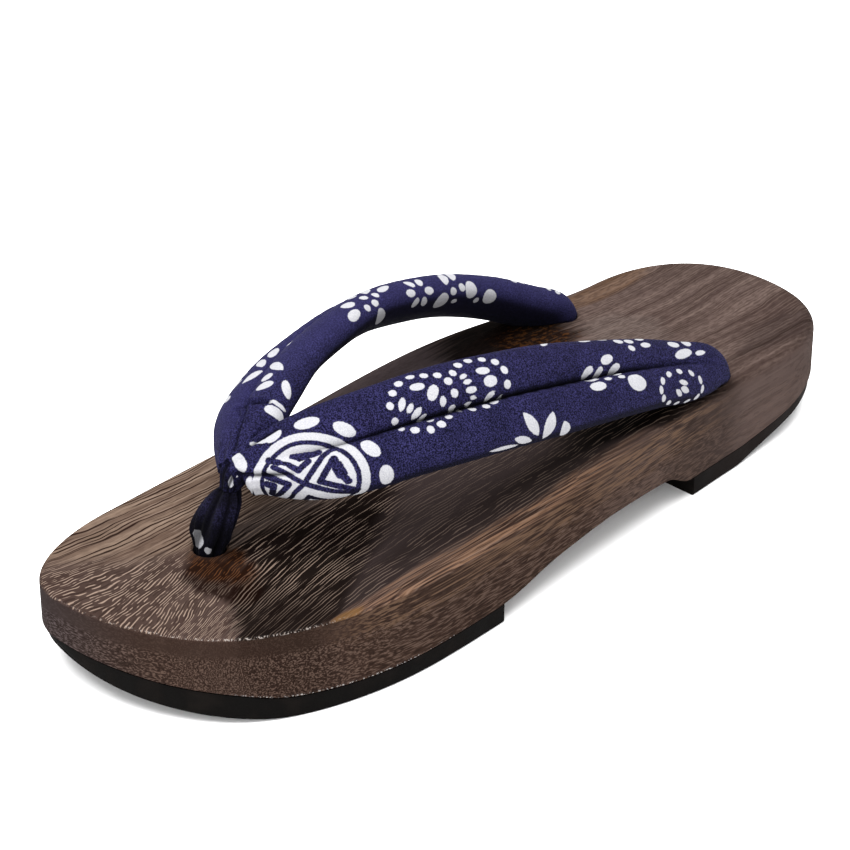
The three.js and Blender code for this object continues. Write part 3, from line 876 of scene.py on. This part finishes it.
def wood_sole():
    rings = lower_edge(1, 0, LOWER_EDGE_ROUND)
    for k in range(1, WALL_ROWS):
        share = k / WALL_ROWS
        rings.append((
            lambda y: np.zeros_like(y),
            lambda plan, share=share: (underside(1, plan) + LOWER_EDGE_ROUND) * (1 - share)
            + (deck_height(plan[:, 1]) - edge_radius(plan[:, 1])) * share,
        ))
    for k in range(ROUND_STEPS + 1):
        turn = k / ROUND_STEPS * math.pi / 2
        rings.append((
            lambda y, turn=turn: edge_radius(y) * (1 - math.cos(turn)),
            lambda plan, turn=turn: deck_height(plan[:, 1])
            - edge_radius(plan[:, 1]) * (1 - math.sin(turn)),
        ))
    piece = sole_piece("wood_body", rings)
    for hole in (OUTER_HOLE, INNER_HOLE, THONG_HOLE):
        combine(piece, hole_plug(hole), "DIFFERENCE")
    shade(piece, SHARP_FROM["hard"])
    return piece


def rubber_pad(name, stretch):
    rings = lower_edge(2, PAD_INSET, PAD_EDGE_ROUND)
    rings.append((
        lambda y: np.full_like(y, PAD_INSET),
        lambda plan: underside(1, plan) - FIT_GAP,
    ))
    piece = sole_piece(name, rings)
    low, high = stretch
    wide = PAD_CUTTER["half_width"]
    deep = PAD_CUTTER["half_height"]
    corners = [(x, y, z) for z in (-deep, deep) for y in (low, high) for x in (-wide, wide)]
    sides = [(0, 2, 3, 1), (4, 5, 7, 6), (0, 1, 5, 4), (2, 6, 7, 3), (0, 4, 6, 2), (1, 3, 7, 5)]
    combine(piece, make_piece("pad_stretch", corners, sides), "INTERSECT")
    shade(piece, SHARP_FROM["hard"])
    return piece


def unit(vectors):
    return vectors / np.linalg.norm(vectors, axis=-1, keepdims=True)


def even_positions(rows, count):
    """Table positions that are evenly spaced along the line of centres, and the run there."""
    fine = np.linspace(0, len(rows) - 1, STRAP_FINE_STEPS)
    line = blend_rows(rows, fine)[:, :3]
    run = np.concatenate(([0], np.cumsum(np.linalg.norm(np.diff(line, axis=0), axis=1))))
    even = np.linspace(0, run[-1], count)
    return np.interp(even, run, fine), even


def segment_distance(along, across, start, end):
    """Distance to a straight stretch, and how far along it the nearest place is."""
    reach = np.array(end) - np.array(start)
    share = ((along - start[0]) * reach[0] + (across - start[1]) * reach[1]) / (reach @ reach)
    share = np.clip(share, 0, 1)
    return np.hypot(along - start[0] - share * reach[0], across - start[1] - share * reach[1]), share


def surface_normals(rings):
    lengthwise = np.gradient(rings, axis=0)
    around = np.roll(rings, -1, axis=1) - np.roll(rings, 1, axis=1)
    return unit(np.cross(around, lengthwise))


def strap_arm(rows, foot_side, creases):
    """Rings of one padded arm with its relief, and each point's place on the cloth and in its creases."""
    positions, run = even_positions(rows, ARM_STATIONS)
    last = len(rows) - 1
    row = blend_rows(rows, positions)
    ahead = blend_rows(rows, np.minimum(positions + HEADING_STEP, last))
    behind = blend_rows(rows, np.maximum(positions - HEADING_STEP, 0))
    along = unit(ahead[:, :3] - behind[:, :3])
    face = np.radians(row[:, 5])
    lean = np.radians(row[:, 6])
    look = np.stack([np.cos(face) * np.cos(lean), np.sin(face) * np.cos(lean), np.sin(lean)], axis=1)
    look = unit(look - (look * along).sum(1, keepdims=True) * along)
    across = np.cross(along, look)
    turn = np.pi / 2 - (np.arange(ARM_SIDES) / ARM_SIDES * 2 * np.pi - np.pi)
    side = np.cos(turn)
    swell = np.sign(np.sin(turn)) * np.abs(np.sin(turn)) ** ARM_SQUARENESS
    half_width = row[:, 3:4]
    thick = row[:, 4:5]
    furrow = row[:, 7:8]
    front = (thick - FURROW_PRESSED * furrow * np.exp(-np.abs(side) / FURROW_REACH)) * swell
    height = np.where(swell > 0, front, thick * swell * ARM_BACK_FLATNESS)
    rings = row[:, None, :3] + across[:, None] * (side * half_width)[..., None]
    rings = rings + look[:, None] * height[..., None]
    steps = np.linalg.norm(np.diff(rings, axis=1), axis=2)
    middle = ARM_SIDES // 2
    place = np.zeros(rings.shape[:2])
    place[:, middle + 1:] = np.cumsum(steps[:, middle:], axis=1)
    place[:, :middle] = -np.cumsum(steps[:, :middle][:, ::-1], axis=1)[:, ::-1]
    place = place * foot_side
    relief, shut = cloth_relief(run[:, None], place, turn, furrow / FURROW_FULL, creases)
    rings = rings + surface_normals(rings) * relief[..., None]
    return rings, np.broadcast_to(run[:, None], place.shape), place, shut


def cloth_relief(run, place, turn, furrow, creases):
    """Height of the cloth over the smooth padded form, and how deep each point lies in a crease."""
    seam = furrow * np.exp(-(place / SEAM["width"]) ** 2)
    relief = -SEAM["depth"] * seam
    sway = PUCKER["sway"] * np.sin(run / PUCKER["sway_length"])
    wave = np.sin(run / PUCKER["pitch"] * 2 * np.pi + sway)
    relief = relief - PUCKER["depth"] * furrow * wave * np.exp(-np.abs(place) / PUCKER["reach"])
    gather = np.cos(GATHER["count"] * turn + GATHER["uneven"] * np.sin(GATHER["uneven_count"] * turn))
    relief = relief + GATHER["depth"] * gather * np.exp(-run / GATHER["reach"])
    slack = np.sin(run / SLACK["along"] + SLACK["along_start"])
    slack = slack * np.cos(place / SLACK["across"] + SLACK["across_start"])
    relief = relief + SLACK["depth"] * slack
    shut = np.maximum(seam, SEAM["shade"] * furrow * np.exp(-(place / SEAM["shade_reach"]) ** 2))
    for from_run, from_place, to_run, to_place, depth, width in creases:
        away, share = segment_distance(run, place, (from_run, from_place), (to_run, to_place))
        inside = share * (1 - 2 * CREASE["end"]) + CREASE["end"]
        fade = np.sin(np.pi * np.clip(inside, 0, 1)) ** CREASE["fade"]
        trough = np.exp(-(away / width) ** 2)
        ridge = CREASE["ridge"] * np.exp(-((away - CREASE["ridge_at"] * width) / width) ** 2)
        relief = relief - depth * fade * (trough - ridge)
        shut = np.maximum(shut, fade * trough)
    return relief, shut


def settle(rings, hole):
    """Lays points that reach the wood on the deck, and keeps those in the hole clear of its wall."""
    x, y, radius = hole
    out = rings.copy()
    deck = deck_height(out[..., 1]) + FIT_GAP
    offset = out[..., :2] - np.array([x, y])
    away = np.linalg.norm(offset, axis=-1)
    room = radius - FIT_GAP
    low = out[..., 2] < deck
    tail = low & (deck - out[..., 2] > np.maximum(away - room, 0) * HOLE_PULL)
    pull = np.minimum(1, room / np.maximum(away, TINY))
    out[..., :2] = np.where(tail[..., None], np.array([x, y]) + offset * pull[..., None], out[..., :2])
    lift = low & ~tail
    out[..., 2] = np.where(lift, deck, out[..., 2])
    return out


def leaf_distance(along, across, leaf, pointed=False):
    """Signed distance to an oval dot or a pointed leaf of the print, below zero inside it."""
    centre_along, centre_across, length, width, turn = leaf
    c = math.cos(radians(turn))
    s = math.sin(radians(turn))
    u = (along - centre_along) * c + (across - centre_across) * s
    v = (across - centre_across) * c - (along - centre_along) * s
    if pointed:
        bow = (length ** 2 + width ** 2) / (4 * width)
        return np.hypot(u, np.abs(v) + bow - width / 2) - bow
    near = np.hypot(u / (length / 2), v / (width / 2))
    steep = np.hypot(u / (length / 2) ** 2, v / (width / 2) ** 2)
    return near * (near - 1) / np.maximum(steep, TINY)


def ring_leaves(along, across, half_long, half_high, count, length, width, turn):
    """Dots or petals evenly round an oval."""
    leaves = []
    for k in range(count):
        angle = 360 * k / count
        leaves.append((
            along + half_long * math.cos(radians(angle)),
            across + half_high * math.sin(radians(angle)),
            length,
            width,
            angle + turn,
        ))
    return leaves


def spray_leaves(along, across, turn):
    """One loose spray of leaves about its stem."""
    c = math.cos(radians(turn))
    s = math.sin(radians(turn))
    return [(along + u * c - v * s, across + u * s + v * c, length, width, angle + turn)
            for u, v, length, width, angle in SPRAY]


def arm_print(dots, rings, sprays, leaves):
    """Every dot and every pointed leaf of one arm."""
    for ring in rings:
        dots = dots + ring_leaves(*ring)
    for spray in sprays:
        dots = dots + spray_leaves(*spray)
    return dots, leaves


def share_out(leaves, groups):
    """Puts each leaf in the group where its nearest neighbour is farthest, so that small gaps
    between leaves stay open when the shader joins the groups."""
    for leaf, pointed in leaves:
        room = []
        for group in groups:
            gaps = [math.hypot(leaf[0] - other[0], leaf[1] - other[1]) - (leaf[2] + other[2]) / 2
                    for other, _ in group]
            room.append(min(gaps, default=math.inf))
        groups[room.index(max(room))].append((leaf, pointed))


def keep_print(piece, along, across, printed):
    """Stores how near the print is at each point, one value for each group of leaves. Points that
    a join adds hold zero, which is far from it."""
    dots, leaves = printed
    groups = [[] for _ in range(PRINT_GROUPS)]
    share_out([(leaf, False) for leaf in dots] + [(leaf, True) for leaf in leaves], groups)
    for k, group in enumerate(groups):
        nearest = np.full(along.shape, NO_PRINT)
        for leaf, pointed in group:
            nearest = np.minimum(nearest, leaf_distance(along, across, leaf, pointed))
        keep_values(piece, "print_%d" % k, NO_PRINT - nearest)


def keep_values(piece, name, values):
    """Stores a number at each point of a loft, and zero at each end's middle."""
    layer = piece.data.attributes.new(name, "FLOAT", "POINT")
    flat = np.concatenate([np.asarray(values, float).ravel(), [0, 0]])
    layer.data.foreach_set("value", flat.astype(np.float32))


def gathered_stem(rows, stations, gathers):
    """Rings of level ovals with ragged pleats running up and down."""
    row = blend_rows(rows, np.linspace(0, len(rows) - 1, stations))
    turn = -np.arange(STEM_SIDES) / STEM_SIDES * 2 * np.pi
    height = row[:, 2:3]
    uneven = PLEAT["uneven"] * np.sin(PLEAT["uneven_count"] * turn + PLEAT["start"])
    lean = PLEAT["lean"] * np.sin(height * PLEAT["lean_rate"] + turn)
    fold = gathers["count"] * turn + uneven + lean
    crimp = (2 * gathers["count"] + 1) * turn + CRIMP["rate"] * height
    shut = (0.5 + 0.5 * np.cos(fold)) ** 2
    pleat = 1 - gathers["depth"] * shut - CRIMP["share"] * gathers["depth"] * np.cos(crimp)
    rings = np.stack([
        row[:, 0:1] + row[:, 3:4] * pleat * np.cos(turn),
        row[:, 1:2] + row[:, 4:5] * pleat * np.sin(turn),
        np.broadcast_to(height, (stations, STEM_SIDES)),
    ], axis=2)
    return rings, np.broadcast_to(turn, shut.shape), shut


def padded_strap():
    outer_dots = WREATH_DOTS + WREATH_PETALS + MEDALLION_PETALS + SPRIG_PETALS + EDGE_LEAVES
    outer_leaves = WREATH_LEAVES + FAN_LEAVES + SPRIG_LEAVES
    outer_print = arm_print(outer_dots, OUTER_RINGS, OUTER_SPRAYS, outer_leaves)
    inner_print = arm_print(INNER_DOTS, INNER_RINGS, INNER_SPRAYS, INNER_LEAVES)
    arms = []
    for name, rows, foot_side, creases, hole, printed, has_medallion in (
        ("strap_cloth_body", OUTER_ARM, -1, OUTER_CREASES, OUTER_HOLE, outer_print, True),
        ("inner_arm", INNER_ARM, 1, INNER_CREASES, INNER_HOLE, inner_print, False),
    ):
        rings, run, place, shut = strap_arm(rows, foot_side, creases)
        arm = loft(name, settle(rings, hole))
        keep_print(arm, run, place, printed)
        keep_cloth(arm, run, place, has_medallion)
        keep_values(arm, "cloth_shut", shut)
        arms.append(arm)
    rings, turn, shut = gathered_stem(NECK, NECK_STATIONS, NECK_GATHERS)
    neck = loft("neck", rings)
    keep_stem(neck, rings, turn, shut, NECK_SPOTS)
    combine(arms[0], arms[1], "UNION")
    combine(arms[0], neck, "UNION")
    shade(arms[0], SHARP_FROM["cloth"])
    return arms[0]


def keep_cloth(piece, along, across, has_medallion):
    """Stores each point's place on the cloth, and its place from one far off the medallion's middle."""
    keep_values(piece, "cloth_along", along)
    keep_values(piece, "cloth_across", across)
    keep_values(piece, "fret_along", (along - MEDALLION["along"] + FAR_AWAY) * has_medallion)
    keep_values(piece, "fret_across", (across - MEDALLION["across"] + FAR_AWAY) * has_medallion)


def keep_stem(piece, rings, turn, shut, spots):
    """Stores a stem's place on the cloth, its folds and its white spots."""
    around = -(turn % (2 * np.pi)) * STEM_RADIUS
    printed = [(-radians(angle) * STEM_RADIUS, height, width, tall, 0)
               for angle, height, width, tall in spots]
    keep_print(piece, around, rings[..., 2], (printed, []))
    keep_cloth(piece, rings[..., 2], around, False)
    keep_values(piece, "cloth_shut", shut)


def toe_thong():
    rings, turn, shut = gathered_stem(THONG, THONG_STATIONS, THONG_GATHERS)
    piece = loft("thong_cloth_body", settle(rings, THONG_HOLE))
    keep_stem(piece, rings, turn, shut, THONG_SPOTS)
    shade(piece, SHARP_FROM["cloth"])
    return piece


class Sheet:
    """A material's nodes, with short ways to add the kinds used here."""

    def __init__(self, name):
        self.material = bpy.data.materials.new(name)
        self.material.use_nodes = True
        self.tree = self.material.node_tree
        self.shader = self.tree.nodes["Principled BSDF"]

    def add(self, kind, **settings):
        node = self.tree.nodes.new(kind)
        for key, value in settings.items():
            setattr(node, key, value)
        return node

    def put(self, socket, value):
        if hasattr(value, "is_linked"):
            self.tree.links.new(value, socket)
        else:
            socket.default_value = value

    def place(self):
        """Position on the object in millimetres."""
        source = self.add("ShaderNodeTexCoord")
        return self.vector("MULTIPLY", source.outputs["Object"], (1 / MM, 1 / MM, 1 / MM))

    def axes(self, vector):
        node = self.add("ShaderNodeSeparateXYZ")
        self.put(node.inputs[0], vector)
        return [node.outputs[axis] for axis in "XYZ"]

    def joined(self, *axes):
        node = self.add("ShaderNodeCombineXYZ")
        for socket, value in zip(node.inputs, axes):
            self.put(socket, value)
        return node.outputs["Vector"]

    def normal_height(self):
        return self.axes(self.add("ShaderNodeNewGeometry").outputs["Normal"])[2]

    def vector(self, operation, a, b):
        node = self.add("ShaderNodeVectorMath", operation=operation)
        self.put(node.inputs[0], a)
        self.put(node.inputs[1], b)
        return node.outputs["Value" if operation in ("LENGTH", "DOT_PRODUCT", "DISTANCE") else "Vector"]

    def math(self, operation, a, b=0.0):
        node = self.add("ShaderNodeMath", operation=operation)
        self.put(node.inputs[0], a)
        self.put(node.inputs[1], b)
        return node.outputs[0]

    def chain(self, operation, values):
        total = values[0]
        for value in values[1:]:
            total = self.math(operation, total, value)
        return total

    def times(self, *values):
        return self.chain("MULTIPLY", values)

    def plus(self, *values):
        return self.chain("ADD", values)

    def most(self, *values):
        return self.chain("MAXIMUM", values)

    def minus(self, a, b):
        return self.math("SUBTRACT", a, b)

    def without(self, share):
        return self.minus(1.0, share)

    def clamp(self, value):
        node = self.add("ShaderNodeClamp")
        self.put(node.inputs["Value"], value)
        return node.outputs["Result"]

    def noise(self, vector, scale=1.0, detail=2.0):
        node = self.add("ShaderNodeTexNoise")
        self.put(node.inputs["Vector"], vector)
        node.inputs["Scale"].default_value = scale
        node.inputs["Detail"].default_value = detail
        return node.outputs["Fac"]

    def span(self, value, low, high, to_low=0.0, to_high=1.0):
        node = self.add("ShaderNodeMapRange", interpolation_type="SMOOTHSTEP")
        self.put(node.inputs["Value"], value)
        node.inputs["From Min"].default_value = low
        node.inputs["From Max"].default_value = high
        node.inputs["To Min"].default_value = to_low
        node.inputs["To Max"].default_value = to_high
        return node.outputs["Result"]

    def mix(self, share, a, b):
        node = self.add("ShaderNodeMix", data_type="RGBA")
        self.put(node.inputs["Factor"], share)
        self.put(node.inputs["A"], a)
        self.put(node.inputs["B"], b)
        return node.outputs["Result"]

    def between(self, share, tones):
        return self.mix(share, colour(*tones[0]), colour(*tones[1]))

    def attribute(self, name):
        return self.add("ShaderNodeAttribute", attribute_name=name).outputs["Fac"]

    def bump(self, height, strength, distance):
        node = self.add("ShaderNodeBump")
        node.inputs["Strength"].default_value = strength
        node.inputs["Distance"].default_value = distance * MM
        self.put(node.inputs["Height"], height)
        self.put(self.shader.inputs["Normal"], node.outputs["Normal"])

    def finish(self, **inputs):
        for name, value in inputs.items():
            self.put(self.shader.inputs[name.replace("_", " ")], value)
        return self.material


def colour(red, green, blue):
    """A surface colour from its screen values, 0 to 255, under the full studio light."""
    linear = []
    for value in (red, green, blue):
        share = value / 255
        share = share / 12.92 if share <= 0.04045 else ((share + 0.055) / 1.055) ** 2.4
        linear.append(share / LIGHT_LEVEL)
    return (*linear, 1.0)


class Wood(Sheet):
    """Charred and brushed wood, with each look made once, when a table first asks for it."""

    def __init__(self, name):
        super().__init__(name)
        place = self.place()
        self.known = dict(zip("xyz", self.axes(place)), place=place, up=self.normal_height())
        across = self.grain_across()
        self.known["grain"] = self.joined(across, self.known["y"], self.known["z"])
        jitter = self.times(self.look("jitter"), LINE_JITTER)
        for wave, pitch in WAVE_PITCH.items():
            self.known[wave] = self.math("SINE", self.plus(self.times(across, 2 * math.pi / pitch), jitter))
        stray = self.plus(*[
            self.times(self.minus(self.look(noise), NOISE_MIDDLE), reach)
            for noise, reach in ZONE_STRAY.items()
        ])
        self.known["stray"] = stray
        rim_shift = self.plus(self.times(stray, RIM_RAGGED), self.look("rim_shift"))
        self.known["rim_line"] = self.plus(self.known["x"], rim_shift)

    def grain_across(self):
        """Place across the grain, which runs heel to toe, sways and fans out from thong to toe."""
        x = self.known["x"]
        ahead = self.most(self.minus(self.known["y"], GRAIN_FAN["from"]), 0.0)
        spread = self.math("EXPONENT", self.times(ahead, ahead, GRAIN_FAN["rate"]))
        pull = self.times(
            self.minus(x, GRAIN_FAN["x"]),
            self.without(self.math("DIVIDE", 1.0, spread)),
            self.look("fan_outer"),
            self.look("fan_inner"),
        )
        drift = [self.times(self.look(noise), reach) for noise, reach in GRAIN_DRIFT.items()]
        return self.plus(self.minus(x, pull), self.plus(*drift))

    def look(self, name):
        """What a name in the tables stands for."""
        if name not in self.known:
            self.known[name] = self.make(name)
        return self.known[name]

    def make(self, name):
        prefix, _, rest = name.partition("_")
        if prefix == "off":
            return self.without(self.look(rest))
        if prefix == "from":
            return self.math("ABSOLUTE", self.look(rest))
        for table, maker in (
            (WOOD_NOISE, self.swirl),
            (VESSELS, self.vessel),
            (WOOD_LINES, self.line),
            (WOOD_OVALS, self.oval),
            (WOOD_SPANS, self.look_over),
        ):
            if name in table:
                return maker(*table[name])
        if name in WOOD_ZONES:
            return self.meeting(WOOD_ZONES[name])
        return self.most(*[self.meeting(names, share) for names, share in WOOD_GREATEST[name].items()])

    def meeting(self, names, strength=1.0):
        return self.times(*[self.look(name) for name in names.split()], strength)

    def look_over(self, source, *span):
        return self.span(self.look(source), *span)

    def swirl(self, vector, across, along, detail):
        return self.noise(self.vector("MULTIPLY", self.look(vector), (across, along, across)), detail=detail)

    def vessel(self, wave, low, high, length):
        breaks = self.swirl("grain", VESSEL_BREAK["across"], 1 / length, VESSEL_BREAK["detail"])
        kept = self.span(breaks, VESSEL_BREAK["from"], VESSEL_BREAK["full"])
        return self.times(self.look_over(wave, low, high), kept)

    def line(self, x, y, shift, ragged, rippled):
        slanted = self.vector("DOT_PRODUCT", self.known["place"], (x, y, 0.0))
        ragged = self.times(self.known["stray"], ragged)
        return self.plus(slanted, shift, ragged, self.times(self.look("ripple"), rippled))

    def oval(self, x, y, half_width, half_length):
        offset = self.vector("SUBTRACT", self.known["place"], (x, y, 0.0))
        offset = self.vector("DIVIDE", offset, (half_width, half_length, FAR_AWAY))
        ragged = self.times(self.known["stray"], OVAL_EDGE["ragged"])
        reach = self.plus(self.vector("LENGTH", offset, (0, 0, 0)), ragged)
        return self.span(reach, OVAL_EDGE["from"], OVAL_EDGE["full"])

    def tone(self, first, second=None, between=None):
        if second is None:
            return colour(*first)
        return self.between(self.look(between), (first, second))


def wood_material():
    """Zones of tan, brown and charred dark wood, with vessel lines along the grain, painted strap shadow and
    shade on the deck, painted light between the arms, and painted highlights on the toe's top edge and the
    wood's lower edge.
    """
    wood = Wood("charred_wood")
    base = wood.tone(*WOOD_GROUND)
    for names, strength, *tones in WOOD_LAYERS:
        base = wood.mix(wood.meeting(names, strength), base, wood.tone(*tones))
    wood.bump(wood.minus(wood.look("raised"), wood.look("dark_lines")), **WOOD_BUMP)
    return wood.finish(Base_Color=base, Coat_Roughness=wood.look("gloss"), **WOOD_FINISH)


def rubber_material():
    sheet = Sheet("pad_rubber")
    place = sheet.place()
    dust = sheet.noise(place, **RUBBER_DUST)
    base = sheet.between(sheet.span(dust, *RUBBER_SPANS["dust"]), RUBBER_BLACKS)
    y = sheet.axes(place)[1]
    base = sheet.mix(sheet.span(y, *RUBBER_SPANS["heel"]), base, colour(*RUBBER_HEEL))
    sheet.bump(sheet.noise(place, **RUBBER_GRAIN), **RUBBER_BUMP)
    rough = sheet.span(dust, *RUBBER_SPANS["rough"])
    return sheet.finish(Base_Color=base, Roughness=rough, Specular_IOR_Level=RUBBER_SPECULAR)


def fret_cover(sheet):
    """Signed distance to the medallion's white, below zero inside it."""
    spot = sheet.joined(sheet.attribute("fret_along"), sheet.attribute("fret_across"))
    spot = sheet.vector("SUBTRACT", spot, (FAR_AWAY, FAR_AWAY, 0))
    reach = sheet.vector("LENGTH", spot, (0, 0, 0))
    from_gap = sheet.math("ABSOLUTE", sheet.minus(reach, MEDALLION["gap"]))
    white = sheet.most(sheet.minus(reach, MEDALLION["disc"]), sheet.minus(MEDALLION["gap_half"], from_gap))
    for half, points in FRET_LINES:
        for start, end in zip(points, points[1:]):
            step = Vector((end[0] - start[0], end[1] - start[1], 0))
            offset = sheet.vector("SUBTRACT", spot, (*start, 0))
            share = sheet.vector("DOT_PRODUCT", offset, step / step.length_squared)
            nearest = sheet.vector("MULTIPLY", sheet.clamp(share), step)
            away = sheet.vector("DISTANCE", offset, nearest)
            white = sheet.most(white, sheet.minus(half, away))
    return white


def cloth_shading(sheet, place, darker_below):
    """How far the cloth is darkened: lower down toward the wood, and as painted shade round the tie and on
    faces turned downward.
    """
    z = sheet.axes(place)[2]
    # Darker toward the bottom, near the wood
    low_dark = sheet.span(z, darker_below, darker_below - LOW_DARKENING["reach"], 0.0, LOW_DARKENING["share"])
    # Painted shade round the tie
    tied = sheet.span(sheet.vector("DISTANCE", place, TIE), *CLOTH_SPANS["tied"])
    # Painted shade on faces turned downward
    under = sheet.span(sheet.normal_height(), *CLOTH_SPANS["under"])
    return sheet.most(under, low_dark, tied)


def cloth_material(name, ground, has_medallion, darker_below):
    """Indigo cotton with its white print, darker low down near the wood, with painted shade in its creases,
    round the tie and underneath, and painted light on the far arm.
    """
    sheet = Sheet(name)
    place = sheet.place()
    speckle = sheet.noise(place, **SPECKLE)
    dark = colour(*[v * DARK_THREAD for v in ground])
    pale = colour(*[v * PALE_THREAD["gain"] + PALE_THREAD["lift"] for v in ground])
    navy = sheet.mix(sheet.span(speckle, *CLOTH_SPANS["speckle"]), dark, pale)
    mottle = sheet.span(sheet.noise(place, **MOTTLE), *CLOTH_SPANS["mottle"])
    navy = sheet.mix(mottle, navy, dark)
    # Painted light: the far arm, toward larger x, is lightened toward the pale threads
    navy = sheet.mix(sheet.span(sheet.axes(place)[0], *CLOTH_SPANS["far_side_light"]), navy, pale)
    navy = sheet.mix(cloth_shading(sheet, place, darker_below), navy, colour(*CLOTH_SHADE))
    white = sheet.between(sheet.span(speckle, *CLOTH_SPANS["white"]), PRINT_WHITES)
    near = sheet.most(*[sheet.attribute("print_%d" % k) for k in range(PRINT_GROUPS)])
    cover = sheet.minus(NO_PRINT, near)
    if has_medallion:
        cover = sheet.math("MINIMUM", cover, fret_cover(sheet))
    fray = sheet.times(sheet.minus(speckle, NOISE_MIDDLE), PRINT_FRAY)
    base = sheet.mix(sheet.span(sheet.plus(cover, fray), *CLOTH_SPANS["print_edge"]), navy, white)
    crease = sheet.span(sheet.attribute("cloth_shut"), *CLOTH_SPANS["crease"])
    base = sheet.mix(crease, base, colour(*CREASE_SHADE))
    threads = [
        sheet.math("SINE", sheet.times(sheet.attribute(run), 2 * math.pi / THREAD_PITCH))
        for run in ("cloth_along", "cloth_across")
    ]
    sheet.bump(sheet.plus(sheet.times(*threads, WEAVE_SHARE), speckle), **CLOTH_BUMP)
    return sheet.finish(Base_Color=base, **CLOTH_FINISH)


def floor_material():
    sheet = Sheet("studio_floor")
    low, high = [(grey, grey, grey, 1.0) for grey in FLOOR_GREYS]
    base = sheet.mix(sheet.noise(sheet.place(), **FLOOR_NOISE), low, high)
    return sheet.finish(Base_Color=base, **FLOOR_FINISH)


def dress(piece, node, material):
    """Puts a piece in the place of its solid, with its finish."""
    piece.data.materials.clear()
    piece.data.materials.append(material)
    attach(piece, BODY)
    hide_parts(node)


def put_up(thing, place, way):
    """Sets a camera or a light at a place in millimetres, looking a way."""
    bpy.context.scene.collection.objects.link(thing)
    thing.location = place * MM
    thing.rotation_mode = "QUATERNION"
    thing.rotation_quaternion = way.to_track_quat("-Z", "Y")


def add_camera():
    data = bpy.data.cameras.new("camera")
    data.sensor_width = SENSOR
    data.lens = CAMERA_LENS
    camera = bpy.data.objects.new("camera", data)
    bearing = radians(CAMERA_BEARING)
    elevation = radians(CAMERA_ELEVATION)
    back = Vector((
        math.cos(bearing) * math.cos(elevation),
        math.sin(bearing) * math.cos(elevation),
        math.sin(elevation),
    ))
    put_up(camera, Vector(CAMERA_TARGET) + back * CAMERA_DISTANCE, -back)
    bpy.context.scene.camera = camera


def add_light(name, place, size, power):
    data = bpy.data.lights.new(name, "AREA")
    data.shape = "DISK"
    data.size = size * MM
    data.energy = power
    light = bpy.data.objects.new(name, data)
    put_up(light, Vector(place), Vector(LIGHT_AIM) - Vector(place))


def add_studio():
    corners = [(x * FLOOR_REACH, y * FLOOR_REACH, 0) for x, y in ((-1, -1), (1, -1), (1, 1), (-1, 1))]
    floor = make_piece("floor", corners, [(0, 1, 2, 3)])
    floor.data.materials.append(floor_material())
    world = bpy.data.worlds.new("studio")
    world.use_nodes = True
    sky = world.node_tree.nodes["Background"].inputs
    sky["Color"].default_value = (1.0, 1.0, 1.0, 1.0)
    sky["Strength"].default_value = 1.0
    bpy.context.scene.world = world
    for name, (place, size, power) in LIGHTS.items():
        add_light(name, place, size, power)
    bpy.context.scene.view_settings.view_transform = "Standard"


add_camera()
add_studio()
dress(wood_sole(), "wood_sole", wood_material())
rubber = rubber_material()
for pad_name, pad_stretch in PADS.items():
    dress(rubber_pad(pad_name + "_body", pad_stretch), pad_name, rubber)
strap = padded_strap()
strap_cloth = cloth_material("strap_cloth", STRAP_NAVY, True, STRAP_DARKER_BELOW)
dress(strap, "strap", strap_cloth)
thong_cloth = cloth_material("thong_cloth", THONG_NAVY, False, THONG_DARKER_BELOW)
dress(toe_thong(), "toe_thong", thong_cloth)
